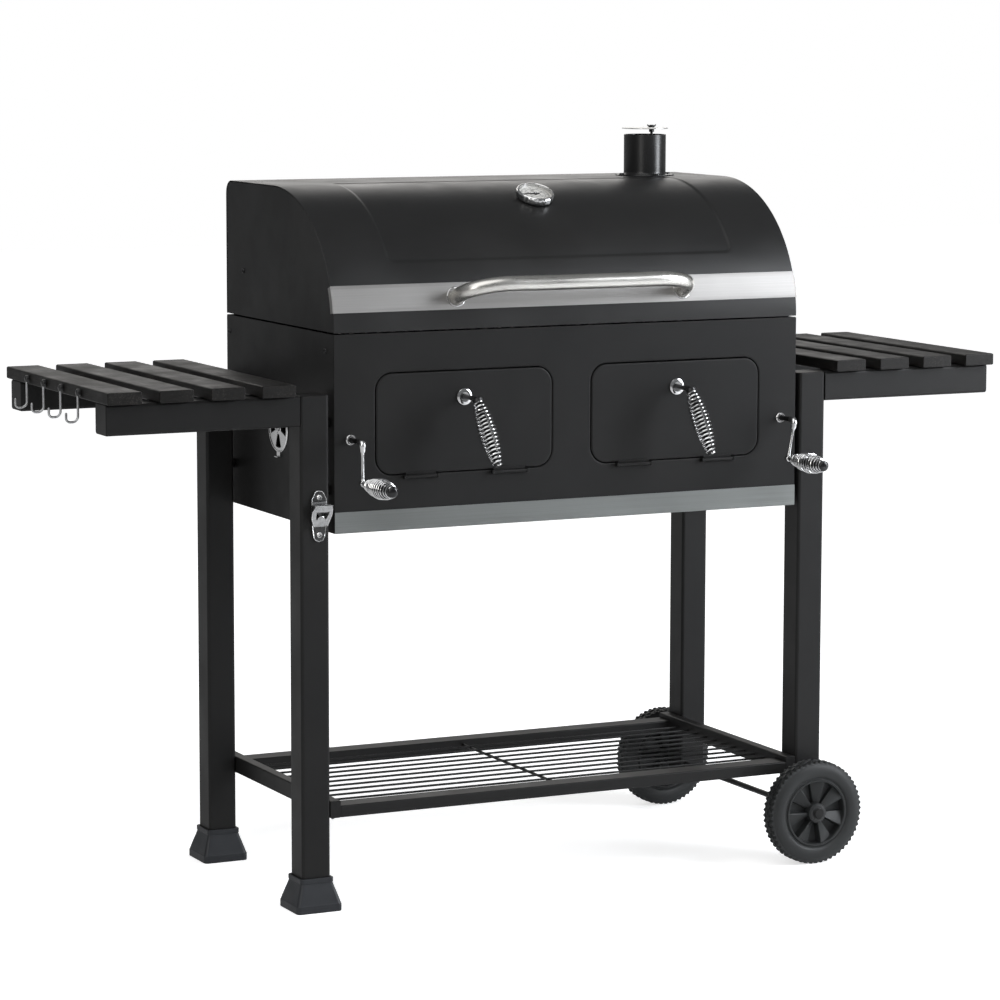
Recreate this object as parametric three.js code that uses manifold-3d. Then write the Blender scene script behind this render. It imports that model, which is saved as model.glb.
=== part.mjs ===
// Charcoal barrel grill on a four-leg trolley, millimetres, +Z up, front faces -Y.
// The pieces are laid out about the middle of the firebox. The part's origin is on the ground
// in the middle of the overall footprint, so every piece is moved by ORIGIN at the end.
import * as THREE from 'three';
import { mergeVertices } from 'three/addons/utils/BufferGeometryUtils.js';
import Module from 'manifold-3d';

const wasm = await Module();
wasm.setup();

// ---------------------------------------------------------------- driving sizes
const GAP = 0.3; // clearance left between pieces that touch
const ORIGIN = [12.1, 50.5, 0];
const BOX = { half: 430, deep: 230, low: 621, top: 944, wall: 1.2 };
const LEG = { side: 50, wall: 1.5, inner: 439, front: 230, top: 848, boss: [690, 800] };
const BOOT = { half: 40, collar: 29, height: 56, floor: 8 };
const AXLE = { x: 450, z: 90, r: 5, end: 297 };
const WHEEL = { r: 90, width: 38, centre: 271 };
const SHELF = { low: 152, railTop: 172, sideTop: 181, outer: 438.7, bar: 18.7, rail: 40,
  wires: 10, wire: 2, wireZ: 166 };
const ARM = { length: 330, height: 50, wall: 1.5 };
const SLAT = { width: 58, pitch: 87, count: 4, thick: 20, outer: 822, half: 246 };
const HOOK = { wire: 2, at: [129, 46, -37, -120], z: 858, drop: 47, bend: 10, lip: 15 };
const DOOR = { x: 196.5, z: 795.5, w: 319, h: 165, r: 28, gap: 1.5, t: 2 };
const DOOR_PIN = { y: -235, z: 708.5, barrel: 3.6, pin: 1.5, tabs: [[87, 145], [250, 304]] };
const CRANK = { x: 401, z: 773, r: 4, elbow: -277, arm: 66, lean: 10, grip: [-296, -398] };
const PINION = { teeth: 12, r: 20, width: 10, at: [-150, 150] };
const PAN = { x: [10, 366], half: 190, floor: 745, rim: 800, t: 1.5 };
const VENT = { z: 771, r: 41, slots: 4 };
const LEDGE = { z: 905, width: 16 };
const GRATE = { x: [12, 421], half: 214, z: 910.3, frame: 3, bar: 2, bars: 15 };
const LID = { low: 946.5, top: 1174, brow: 22, back: 230, corner: 22, wall: 1.2 };
const LID_TRIM = { low: 978, high: 1021, t: 1.2 };
const HINGE = { x: 300, y: 238, z: 945, barrel: 4.5, pin: 2, length: 60 };
const HANDLE = { x: 210, y: -279, z: 1021, r: 12.5 };
const GAUGE = { y: -90, r: 33, height: 12, stem: 4 };
const FLUE = { x: 317, y: 110, r: 37, wall: 1.5, top: 1246, flange: 52, off: 29, turn: 38 };

// ---------------------------------------------------------------- shape helpers
function solid(geometry) {
  let g = geometry.clone();
  g.deleteAttribute('normal');
  g.deleteAttribute('uv');
  g = mergeVertices(g, 1e-3);
  const pos = g.attributes.position;
  const vertProperties = new Float32Array(pos.count * 3);
  for (let i = 0; i < pos.count; i++) {
    vertProperties.set([pos.getX(i), pos.getY(i), pos.getZ(i)], 3 * i);
  }
  const triVerts = new Uint32Array(g.index.array);
  return new wasm.Manifold(new wasm.Mesh({ numProp: 3, vertProperties, triVerts }));
}
const place = (geometry, ...rows) => {
  const m = new THREE.Matrix4();
  m.set(...rows);
  return geometry.applyMatrix4(m);
};
const extruded = (shape, depth, curveSegments = 8) =>
  new THREE.ExtrudeGeometry(shape, { depth, bevelEnabled: false, curveSegments, steps: 1 });
const slab = (x0, x1, y0, y1, z0, z1) =>
  solid(new THREE.BoxGeometry(Math.abs(x1 - x0), Math.abs(y1 - y0), Math.abs(z1 - z0))
    .translate((x0 + x1) / 2, (y0 + y1) / 2, (z0 + z1) / 2));
// shape drawn in (y, z), run along X
const alongX = (shape, x0, x1, seg) =>
  solid(place(extruded(shape, x1 - x0, seg), 0, 0, 1, x0, 1, 0, 0, 0, 0, 1, 0, 0, 0, 0, 0, 1));
// shape drawn in (x, z), run along Y
const alongY = (shape, y0, y1, seg) =>
  solid(place(extruded(shape, y1 - y0, seg), 1, 0, 0, 0, 0, 0, -1, y1, 0, 1, 0, 0, 0, 0, 0, 1));
// shape drawn in (x, y), run along Z
const alongZ = (shape, z0, z1, seg) => solid(extruded(shape, z1 - z0, seg).translate(0, 0, z0));
function roundRect(cx, cy, w, h, r) {
  const s = new THREE.Shape();
  const [x0, x1, y0, y1] = [cx - w / 2, cx + w / 2, cy - h / 2, cy + h / 2];
  s.moveTo(x0 + r, y0);
  s.lineTo(x1 - r, y0).absarc(x1 - r, y0 + r, r, -Math.PI / 2, 0);
  s.lineTo(x1, y1 - r).absarc(x1 - r, y1 - r, r, 0, Math.PI / 2);
  s.lineTo(x0 + r, y1).absarc(x0 + r, y1 - r, r, Math.PI / 2, Math.PI);
  s.lineTo(x0, y0 + r).absarc(x0 + r, y0 + r, r, Math.PI, Math.PI * 1.5);
  return s;
}
const polygon = (points) => new THREE.Shape(points.map(([x, y]) => new THREE.Vector2(x, y)));
// turned body: profile of [radius, height] about an axis from base along dir
function turned(profile, base, dir, seg = 24, spin = 0) {
  const g = new THREE.LatheGeometry(profile.map(([r, h]) => new THREE.Vector2(r, h)), seg);
  g.rotateY(spin);
  const q = new THREE.Quaternion();
  q.setFromUnitVectors(new THREE.Vector3(0, 1, 0), new THREE.Vector3(...dir).normalize());
  return solid(g.applyQuaternion(q).translate(...base));
}
const disc = (r, h0, h1, base, dir, seg) =>
  turned([[0, h0], [r, h0], [r, h1], [0, h1]], base, dir, seg);
const ring = (r0, r1, h0, h1, base, dir, seg) =>
  turned([[r0, h0], [r1, h0], [r1, h1], [r0, h1], [r0, h0]], base, dir, seg);
function rod(a, b, r, seg = 12) {
  const [p, q] = [new THREE.Vector3(...a), new THREE.Vector3(...b)];
  const d = q.clone().sub(p);
  return disc(r, 0, d.length(), a, d.toArray(), seg);
}
// round bar bent along straight runs with rounded elbows
function bentBar(points, r, elbow, seg = 8, bends = 4) {
  const p = points.map((v) => new THREE.Vector3(...v));
  const line = [p[0]];
  for (let i = 1; i < p.length - 1; i++) {
    const a = p[i].clone().add(p[i - 1].clone().sub(p[i]).setLength(elbow));
    const b = p[i].clone().add(p[i + 1].clone().sub(p[i]).setLength(elbow));
    const bend = new THREE.QuadraticBezierCurve3(a, p[i], b).getPoints(bends);
    if (line[line.length - 1].distanceTo(a) < 0.01) bend.shift();
    line.push(...bend);
  }
  line.push(p[p.length - 1]);
  return sweep(line, r, seg);
}
// round bar through a row of points, flat at both ends
function sweep(line, r, seg) {
  const pos = [];
  const index = [];
  const along = line.map((p, i) =>
    line[Math.min(i + 1, line.length - 1)].clone().sub(line[Math.max(i - 1, 0)]).normalize());
  const side = new THREE.Vector3(0.31, 0.17, 0.94).cross(along[0]).normalize();
  line.forEach((p, i) => {
    side.addScaledVector(along[i], -side.dot(along[i])).normalize();
    const up = along[i].clone().cross(side);
    for (let k = 0; k < seg; k++) {
      const a = (2 * Math.PI * k) / seg;
      pos.push(...p.clone().addScaledVector(side, r * Math.cos(a)).addScaledVector(up,
        r * Math.sin(a)).toArray());
      if (i === 0) continue;
      const [u, v] = [(i - 1) * seg, i * seg];
      const m = (k + 1) % seg;
      index.push(u + k, u + m, v + m, u + k, v + m, v + k);
    }
  });
  const last = (line.length - 1) * seg;
  for (let k = 1; k < seg - 1; k++) index.push(0, k + 1, k, last, last + k, last + k + 1);
  const g = new THREE.BufferGeometry();
  g.setAttribute('position', new THREE.Float32BufferAttribute(pos, 3));
  g.setIndex(index);
  return solid(g);
}
const union = (...bodies) => bodies.reduce((a, b) => a.add(b));
const cut = (body, ...tools) => tools.reduce((a, b) => a.subtract(b), body);
const rad = (deg) => (deg * Math.PI) / 180;

// ---------------------------------------------------------------- finishes
const LOOKS = {
  coat: [0x2b2c2c, 0.4, 0.5], steel: [0xb4b2ae, 0.9, 0.35], chrome: [0xdedede, 1, 0.12],
  plastic: [0x1e2022, 0, 0.6], enamel: [0x242424, 0.2, 0.4], slat: [0x302e2c, 0.1, 0.55],
  zinc: [0x8d8f92, 0.8, 0.4], needle: [0x1c1d1e, 0, 0.5],
};
const group = new THREE.Group();
group.name = 'charcoal_grill_trolley';
function piece(name, body, look) {
  const m = body.getMesh();
  const g = new THREE.BufferGeometry();
  g.setAttribute('position', new THREE.BufferAttribute(new Float32Array(m.vertProperties), 3));
  g.setIndex(new THREE.BufferAttribute(new Uint32Array(m.triVerts), 1));
  g.computeVertexNormals();
  g.translate(...ORIGIN);
  const [color, metalness, roughness] = LOOKS[look];
  const mesh = new THREE.Mesh(g,
    new THREE.MeshStandardMaterial({ name: look, color, metalness, roughness }));
  mesh.name = name;
  group.add(mesh);
}
const SIDES = [['left', -1], ['right', 1]];
const ROWS = [['front', -1], ['rear', 1]];

// ---------------------------------------------------------------- legs and boots
const legX = LEG.inner + LEG.side / 2;
const legY = LEG.front - LEG.side / 2;
for (const [side, sx] of SIDES) {
  for (const [row, sy] of ROWS) {
    const [x, y] = [sx * legX, sy * legY];
    const low = sx < 0 ? BOOT.floor : AXLE.z - 28;
    const inside = LEG.side - 2 * LEG.wall;
    const bosses = LEG.boss.map((z) =>
      disc(8, 0, LEG.inner - BOX.half - GAP + 1, [sx * (LEG.inner + 1), y, z], [-sx, 0, 0], 8));
    let body = cut(alongZ(roundRect(x, y, LEG.side, LEG.side, 4), low, LEG.top, 2),
      alongZ(roundRect(x, y, inside, inside, 2), low - 1, LEG.top - LEG.wall, 1));
    body = union(body, ...bosses);
    if (sx > 0) {
      body = cut(body, disc(AXLE.r + GAP, -LEG.side, LEG.side, [AXLE.x, y, AXLE.z], [0, 1, 0], 12));
    }
    piece(`leg_${row}_${side}`, body, 'coat');
  }
}
const bootProfile = [[0, 0], [BOOT.half - 1, 0], [BOOT.half, 1], [BOOT.half, 13], [37.7, 20],
  [34.3, 30], [30.9, 40], [28.6, 47], [BOOT.collar, 48], [BOOT.collar, BOOT.height - 1],
  [BOOT.collar - 1, BOOT.height], [0, BOOT.height]].map(([r, z]) => [r * Math.SQRT2, z]);
for (const [row, sy] of ROWS) {
  const [x, y] = [-legX, sy * legY];
  const s = LEG.side / 2 + GAP;
  piece(`foot_${row}`, cut(turned(bootProfile, [x, y, 0], [0, 1e-9, 1], 4, Math.PI / 4),
    slab(x - s, x + s, y - s, y + s, BOOT.floor - GAP, BOOT.height + 1)), 'plastic');
}

// ---------------------------------------------------------------- bottom shelf
{
  const [o, i, t] = [SHELF.outer, SHELF.outer - SHELF.bar, 2];
  const d = LEG.front - 0.5;
  const bars = [];
  const hollows = [];
  for (const s of [-1, 1]) {
    bars.push(slab(s * i, s * o, -d, d, SHELF.low, SHELF.sideTop));
    bars.push(slab(-i - 1, i + 1, s * (d - SHELF.rail), s * d, SHELF.low, SHELF.railTop));
    hollows.push(slab(s * (i + t), s * (o - t), -d + t, d - t, SHELF.low - 1, SHELF.sideTop - t));
    hollows.push(slab(-i + t, i - t, s * (d - SHELF.rail + t), s * (d - t), SHELF.low - 1,
      SHELF.railTop - t));
  }
  piece('shelf_frame', cut(union(...bars), ...hollows), 'coat');
  const clear = d - SHELF.rail;
  const end = i - GAP;
  const wires = [rod([0, -clear + GAP, SHELF.wireZ - 3], [0, clear - GAP, SHELF.wireZ - 3], 2.5, 6)];
  for (let n = 1; n <= SHELF.wires; n++) {
    const y = -clear + (2 * clear * n) / (SHELF.wires + 1);
    wires.push(rod([-end, y, SHELF.wireZ], [end, y, SHELF.wireZ], SHELF.wire, 5));
  }
  piece('shelf_grid', union(...wires), 'coat');
}

// ---------------------------------------------------------------- axle and wheels
piece('wheel_axle', rod([AXLE.x, -AXLE.end, AXLE.z], [AXLE.x, AXLE.end, AXLE.z], AXLE.r, 12), 'coat');
{
  const [r, w, bore] = [WHEEL.r, WHEEL.width / 2, AXLE.r + GAP];
  const hubIn = WHEEL.centre - LEG.front - 1; // boss that reaches in to the leg
  const hubOut = w + 2;
  const profile = [[bore, -hubOut], [17, -hubOut], [17, -7], [60, -7],
    [64, -w], [82, -w], [r, -w + 7], [r, w - 7], [82, w], [64, w], [60, 7], [13, 7],
    [12, hubIn], [bore, hubIn], [bore, -hubOut]];
  for (const [row, sy] of ROWS) {
    piece(`wheel_${row}`, turned(profile, [AXLE.x, sy * WHEEL.centre, AXLE.z], [0, -sy, 1e-9], 30),
      'plastic');
  }
}

// ---------------------------------------------------------------- firebox
const wedge = (n, r0, r1, half) => {
  const a = rad(90 * n);
  const s = new THREE.Shape();
  s.absarc(0, 0, r1, a - half, a + half);
  s.absarc(0, 0, r0, a + half, a - half, true);
  return s;
};
const ventHoles = (x0, x1, grow) => Array.from({ length: VENT.slots }, (_, n) =>
  alongX(wedge(n, 12 - grow, 32 + grow, rad(20)), x0, x1, 3).translate([0, 0, VENT.z]));
{
  const { half, deep, low, top, wall } = BOX;
  const y0 = -deep;
  const holes = [];
  const lugs = [];
  for (const s of [-1, 1]) {
    holes.push(alongY(roundRect(s * DOOR.x, DOOR.z, DOOR.w + 2 * DOOR.gap, DOOR.h + 2 * DOOR.gap,
      DOOR.r + DOOR.gap), y0 - 1, y0 + wall + 1, 3));
    holes.push(disc(CRANK.r + GAP, -9, 9, [s * CRANK.x, y0, CRANK.z], [0, 1, 0], 16));
    for (const [a, b] of DOOR_PIN.tabs) {
      const { y, z, barrel, pin } = DOOR_PIN;
      lugs.push(rod([s * (a - 5), y, z], [s * (b + 5), y, z], pin, 6));
      for (const [u, v] of [[a - 5, a - 0.5], [b + 0.5, b + 5]]) {
        lugs.push(slab(s * u, s * v, y - barrel, y0 + 0.5, z - barrel, z + barrel - 1));
      }
    }
  }
  const rim = slab(-half + 3, half - 3, y0 + 0.5, y0 + 11, top - wall, top);
  piece('firebox_front_panel', union(cut(slab(-half, half, y0, y0 + wall, low, top), ...holes),
    rim, ...lugs), 'coat');
  piece('firebox_trim', slab(-half, half, y0 - GAP - 1.2, y0 - GAP, low, low + 35), 'steel');

  for (const [side, s] of SIDES) {
    const [a, b] = [s * (half - wall), s * half];
    const [x0, x1] = [Math.min(a, b), Math.max(a, b)];
    const sheet = cut(slab(x0, x1, y0 + wall + GAP, deep, low, top), ...ventHoles(x0 - 1, x1 + 1, 0));
    const ledge = slab(s * (half - wall - LEDGE.width), s * (half - 1), -deep + 20, deep - 20,
      LEDGE.z, LEDGE.z + 2);
    const stud = rod([s * (half - 1), 0, VENT.z], [s * (half + 4.5), 0, VENT.z], 3, 8);
    const head = rod([s * (half + 2.4), 0, VENT.z], [s * (half + 5), 0, VENT.z], 6, 6);
    piece(`firebox_${side}_panel`, union(sheet, ledge, stud, head), 'coat');
  }
  const inner = half - wall - GAP;
  const trough = cut(union(
    slab(-inner, inner, deep - wall, deep, low, top),
    slab(-inner, inner, y0 + wall + GAP, deep, low, low + wall),
    slab(-9, 9, y0 + wall + GAP, deep, LEDGE.z, LEDGE.z + 2)),
  ...[-1, 1].map((s) => disc(CRANK.r + GAP, -9, 9, [s * CRANK.x, deep, CRANK.z], [0, 1, 0], 16)));
  piece('firebox_trough', trough, 'coat');
}

// ---------------------------------------------------------------- cooking grates
for (const [side, s] of SIDES) {
  const [a, b] = GRATE.x;
  const { half, z, frame, bar, bars } = GRATE;
  const rods = [[[a, -half, z], [b, -half, z]], [[a, half, z], [b, half, z]],
    [[a, -half, z], [a, half, z]], [[b, -half, z], [b, half, z]]]
    .map(([p, q]) => {
      const across = p[0] === q[0] ? 0.4 : 0; // side bars a little slimmer than the end bars
      return slab(s * (p[0] - frame), s * (q[0] + frame), p[1] - frame + 3 * across,
        q[1] + frame - 3 * across, z - frame + across, z + frame - across);
    });
  for (let n = 1; n <= bars; n++) {
    const x = a + ((b - a) * n) / (bars + 1);
    rods.push(slab(s * x - bar, s * x + bar, -half, half, z - bar, z + bar));
  }
  piece(`cooking_grate_${side}`, union(...rods), 'enamel');
}

// ---------------------------------------------------------------- charcoal pans on racks
const pitch = (2 * Math.PI * PINION.r) / PINION.teeth;
for (const [side, s] of SIDES) {
  const [a, b] = PAN.x;
  const { half, floor, rim, t } = PAN;
  let pan = cut(slab(s * a, s * b, -half, half, floor, rim),
    slab(s * (a + t), s * (b - t), -half + t, half - t, floor + t, rim + 1));
  for (let n = -2; n <= 2; n++) {
    pan = cut(pan, slab(s * (a + 30), s * (b - 30), n * 60 - 4, n * 60 + 4, floor - 1, floor + 3));
  }
  const face = CRANK.x - PINION.r; // pitch line of the rack
  const up = rim + 66;
  const [root, tip] = [face - 3.4, face + 2.8];
  const teeth = [];
  for (let z = CRANK.z - pitch; z < up - pitch / 2; z += pitch) {
    teeth.push([root, z - 3.3], [tip, z - 1.1], [tip, z + 1.1], [root, z + 3.3]);
  }
  const outline = [[b - t, floor], [root, floor], ...teeth, [root, up], [b - t, up]];
  for (const y of PINION.at) {
    pan = pan.add(alongY(polygon(s > 0 ? outline : outline.map(([x, z]) => [-x, z]).reverse()),
      y - PINION.width / 2, y + PINION.width / 2));
  }
  piece(`charcoal_pan_${side}`, pan, 'enamel');
}

// ---------------------------------------------------------------- cranks
const gear = (() => {
  const pts = [];
  for (let n = 0; n < PINION.teeth; n++) {
    const c = (2 * Math.PI * (n + 0.5)) / PINION.teeth;
    for (const [r, w] of [[16.4, -0.19], [22.8, -0.05], [22.8, 0.05], [16.4, 0.19]]) {
      pts.push([r * Math.cos(c + w), r * Math.sin(c + w)]);
    }
  }
  return polygon(pts);
})();
for (const [side, s] of SIDES) {
  const { x, z, r, elbow, arm, lean, grip } = CRANK;
  const cx = s * x;
  const tilt = rad(s > 0 ? lean : 0);
  const [ex, ez] = [cx - arm * Math.sin(tilt), z - arm * Math.cos(tilt)];
  const bar = bentBar([[cx, BOX.deep + 4, z], [cx, elbow, z], [ex, elbow, ez],
    [ex, grip[1] + 12, ez]], r, 10, 8, 3);
  const gears = PINION.at.map((y) =>
    alongY(gear, y - PINION.width / 2, y + PINION.width / 2).translate([cx, 0, z]));
  const collars = [disc(8, 0, 5, [cx, -BOX.deep - GAP, z], [0, -1, 0], 6),
    disc(7, 0, 3, [cx, -BOX.deep + BOX.wall + GAP, z], [0, 1, 0], 12),
    disc(7, 0, 2, [ex, grip[0] + 1 + GAP, ez], [0, 1, 0], 12)];
  piece(`crank_${side}`, union(bar, ...gears, ...collars), 'chrome');
  const L = grip[0] - grip[1];
  const spindle = [[r + GAP, 0], [8, 0], [11.5, 14], [15.5, 36], [17.5, 56], [15.5, 74],
    [10, 92], [10, L], [0, L], [0, L - 8], [r + GAP, L - 8], [r + GAP, 0]];
  piece(`crank_grip_${side}`, turned(spindle, [ex, grip[0], ez], [1e-9, -1, 0], 16), 'chrome');
}

// ---------------------------------------------------------------- doors and their handles
for (const [side, s] of SIDES) {
  const y0 = -BOX.deep - 1; // outer face stands 1 mm proud of the panel
  const { y, z, barrel, pin, tabs } = DOOR_PIN;
  let door = alongY(roundRect(s * DOOR.x, DOOR.z, DOOR.w, DOOR.h, DOOR.r), y0, y0 + DOOR.t, 3);
  door = door.subtract(disc(4 + GAP, -9, 9, [s * 198, y0, 835], [0, 1, 0], 12));
  for (const [a, b] of tabs) {
    door = door.add(slab(s * a, s * b, y0 - 1, y0 + 0.7, z, z + 14));
    door = door.add(slab(s * a, s * b, y, y0 + 0.6, z - 0.5, z + barrel - 0.4));
    door = door.add(rod([s * a, y, z], [s * b, y, z], barrel, 8));
    door = door.subtract(rod([s * (a - 9), y, z], [s * (b + 9), y, z], pin + GAP, 8));
  }
  piece(`door_${side}`, door, 'coat');

  // rosette, stem and barrel-shaped coil grip leaning out and to the right
  const hx = s * 198;
  const hz = 835;
  const stemEnd = y0 - 46;
  const lean = new THREE.Vector3(0.13, -0.4, -0.9).normalize();
  const from = [hx + 1, stemEnd - 2, hz - 2];
  const gripBody = turned([[0, 0], [9, 0], [13.5, 20], [16.4, 50], [16, 66], [12.5, 92],
    [8, 106], [7, 116], [0, 116]], from, lean.toArray(), 16);
  const handle = union(
    disc(14, 0, 3, [hx, y0 - GAP, hz], [0, -1, 0], 20),
    rod([hx, y0 + DOOR.t + 10, hz], [hx, stemEnd - 4, hz], 4, 12),
    disc(9, -9, 9, [hx, stemEnd, hz], [0, -1, 0], 12),
    gripBody,
    disc(9, 0, 3, [hx, y0 + DOOR.t + GAP, hz], [0, 1, 0], 12),
    slab(hx - 6, hx + 6, y0 + DOOR.t + 4, y0 + DOOR.t + 7, hz - 7, hz + 14));
  piece(`door_handle_${side}`, handle, 'chrome');
}

// ---------------------------------------------------------------- vent shutters
for (const [side, s] of SIDES) {
  const [a, b] = [s * (BOX.half + GAP), s * (BOX.half + 1.9)];
  const [x0, x1] = [Math.min(a, b), Math.max(a, b)];
  const plate = rod([x0, 0, VENT.z], [x1, 0, VENT.z], VENT.r, 24);
  const tab = slab(x0, x1, -7, 7, VENT.z - VENT.r - 10, VENT.z - VENT.r + 3);
  const lip = slab(s * (BOX.half + GAP), s * (BOX.half + 7), -7, 7, VENT.z - VENT.r - 11,
    VENT.z - VENT.r - 9.4);
  piece(`vent_shutter_${side}`, cut(union(plate, tab, lip), ...ventHoles(x0 - 1, x1 + 1, 1),
    rod([x0 - 2, 0, VENT.z], [x1 + 2, 0, VENT.z], 3 + GAP, 8)), 'chrome');
}

// ---------------------------------------------------------------- side tables
for (const [side, s] of SIDES) {
  const start = legX + LEG.side / 2 + GAP;
  for (const [row, sy] of ROWS) {
    const y = sy * legY;
    const z = LEG.top - ARM.height / 2;
    const x = [s * start, s * (start + ARM.length)];
    const [x0, x1] = [Math.min(...x), Math.max(...x)];
    const w = LEG.side - 2 * ARM.wall;
    const tube = cut(alongX(roundRect(y, z, LEG.side, ARM.height, 4), x0, x1, 2),
      alongX(roundRect(y, z, w, w, 2), s > 0 ? x0 - 1 : x0 + 2, s > 0 ? x1 - 2 : x1 + 1, 1));
    piece(`table_${side}_arm_${row}`, tube, 'coat');
  }
  for (let n = 0; n < SLAT.count; n++) {
    const x = s * (SLAT.outer - SLAT.width / 2 - n * SLAT.pitch);
    const z = LEG.top + GAP + SLAT.thick / 2;
    piece(`table_${side}_slat_${n + 1}`,
      alongY(roundRect(x, z, SLAT.width, SLAT.thick, 2.5), -SLAT.half, SLAT.half, 2), 'slat');
  }
}
HOOK.at.forEach((y, n) => {
  const x = -SLAT.outer - GAP;
  const out = x - HOOK.wire - 2;
  const low = HOOK.z - HOOK.drop;
  const wire = bentBar([[out, y, HOOK.z - 2], [out, y, low], [out - 2 * HOOK.bend, y, low],
    [out - 2 * HOOK.bend, y, low + HOOK.lip]], HOOK.wire, HOOK.bend, 6, 3);
  const pad = rod([x, y, HOOK.z], [out - 3, y, HOOK.z], 5.5, 6);
  piece(`tool_hook_${n + 1}`, union(wire, pad), 'zinc');
});
{
  // bottle opener: screwed plate with a hooded mouth
  const [x, y0] = [-458, -LEG.front - GAP];
  const plate = alongY(roundRect(x, 652, 24, 78, 8), y0 - 2, y0, 6);
  const block = alongX(polygon([[y0 - 1, 634], [y0 - 1, 676], [y0 - 6, 675], [y0 - 19, 668],
    [y0 - 20, 662], [y0 - 12, 646], [y0 - 7, 634]].reverse()), x - 17, x + 17);
  const mouth = alongX(polygon([[y0 - 5, 668], [y0 - 24, 659], [y0 - 24, 650],
    [y0 - 5, 652]].reverse()), x - 11, x + 11);
  piece('bottle_opener', union(plate, block).subtract(mouth), 'zinc');
}

// ---------------------------------------------------------------- lid
// half profile in (y, z): back wall, rounded corner, flat crown, quarter-ellipse brow
function lidOutline(off, zLow = LID.low) {
  const pts = [];
  const [a, b] = [LID.back + LID.brow + off, LID.top - LID.low + off];
  const t0 = Math.PI / 2 - Math.asin(Math.max(-1, (zLow - LID.low) / b));
  for (let n = 0; n <= 18; n++) {
    const t = (t0 * (18 - n)) / 18;
    pts.push([LID.brow - a * Math.sin(t), LID.low + b * Math.cos(t)]);
  }
  const r = LID.corner + off;
  for (let n = 0; n <= 4; n++) {
    const t = (Math.PI / 2) * (n / 4);
    pts.push([LID.back - LID.corner + r * Math.sin(t), LID.top - LID.corner + r * Math.cos(t)]);
  }
  pts.push([LID.back + off, zLow]);
  return pts;
}
const lidBlock = (off, x0, x1, zLow) => alongX(polygon(lidOutline(off, zLow).reverse()), x0, x1);
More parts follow.
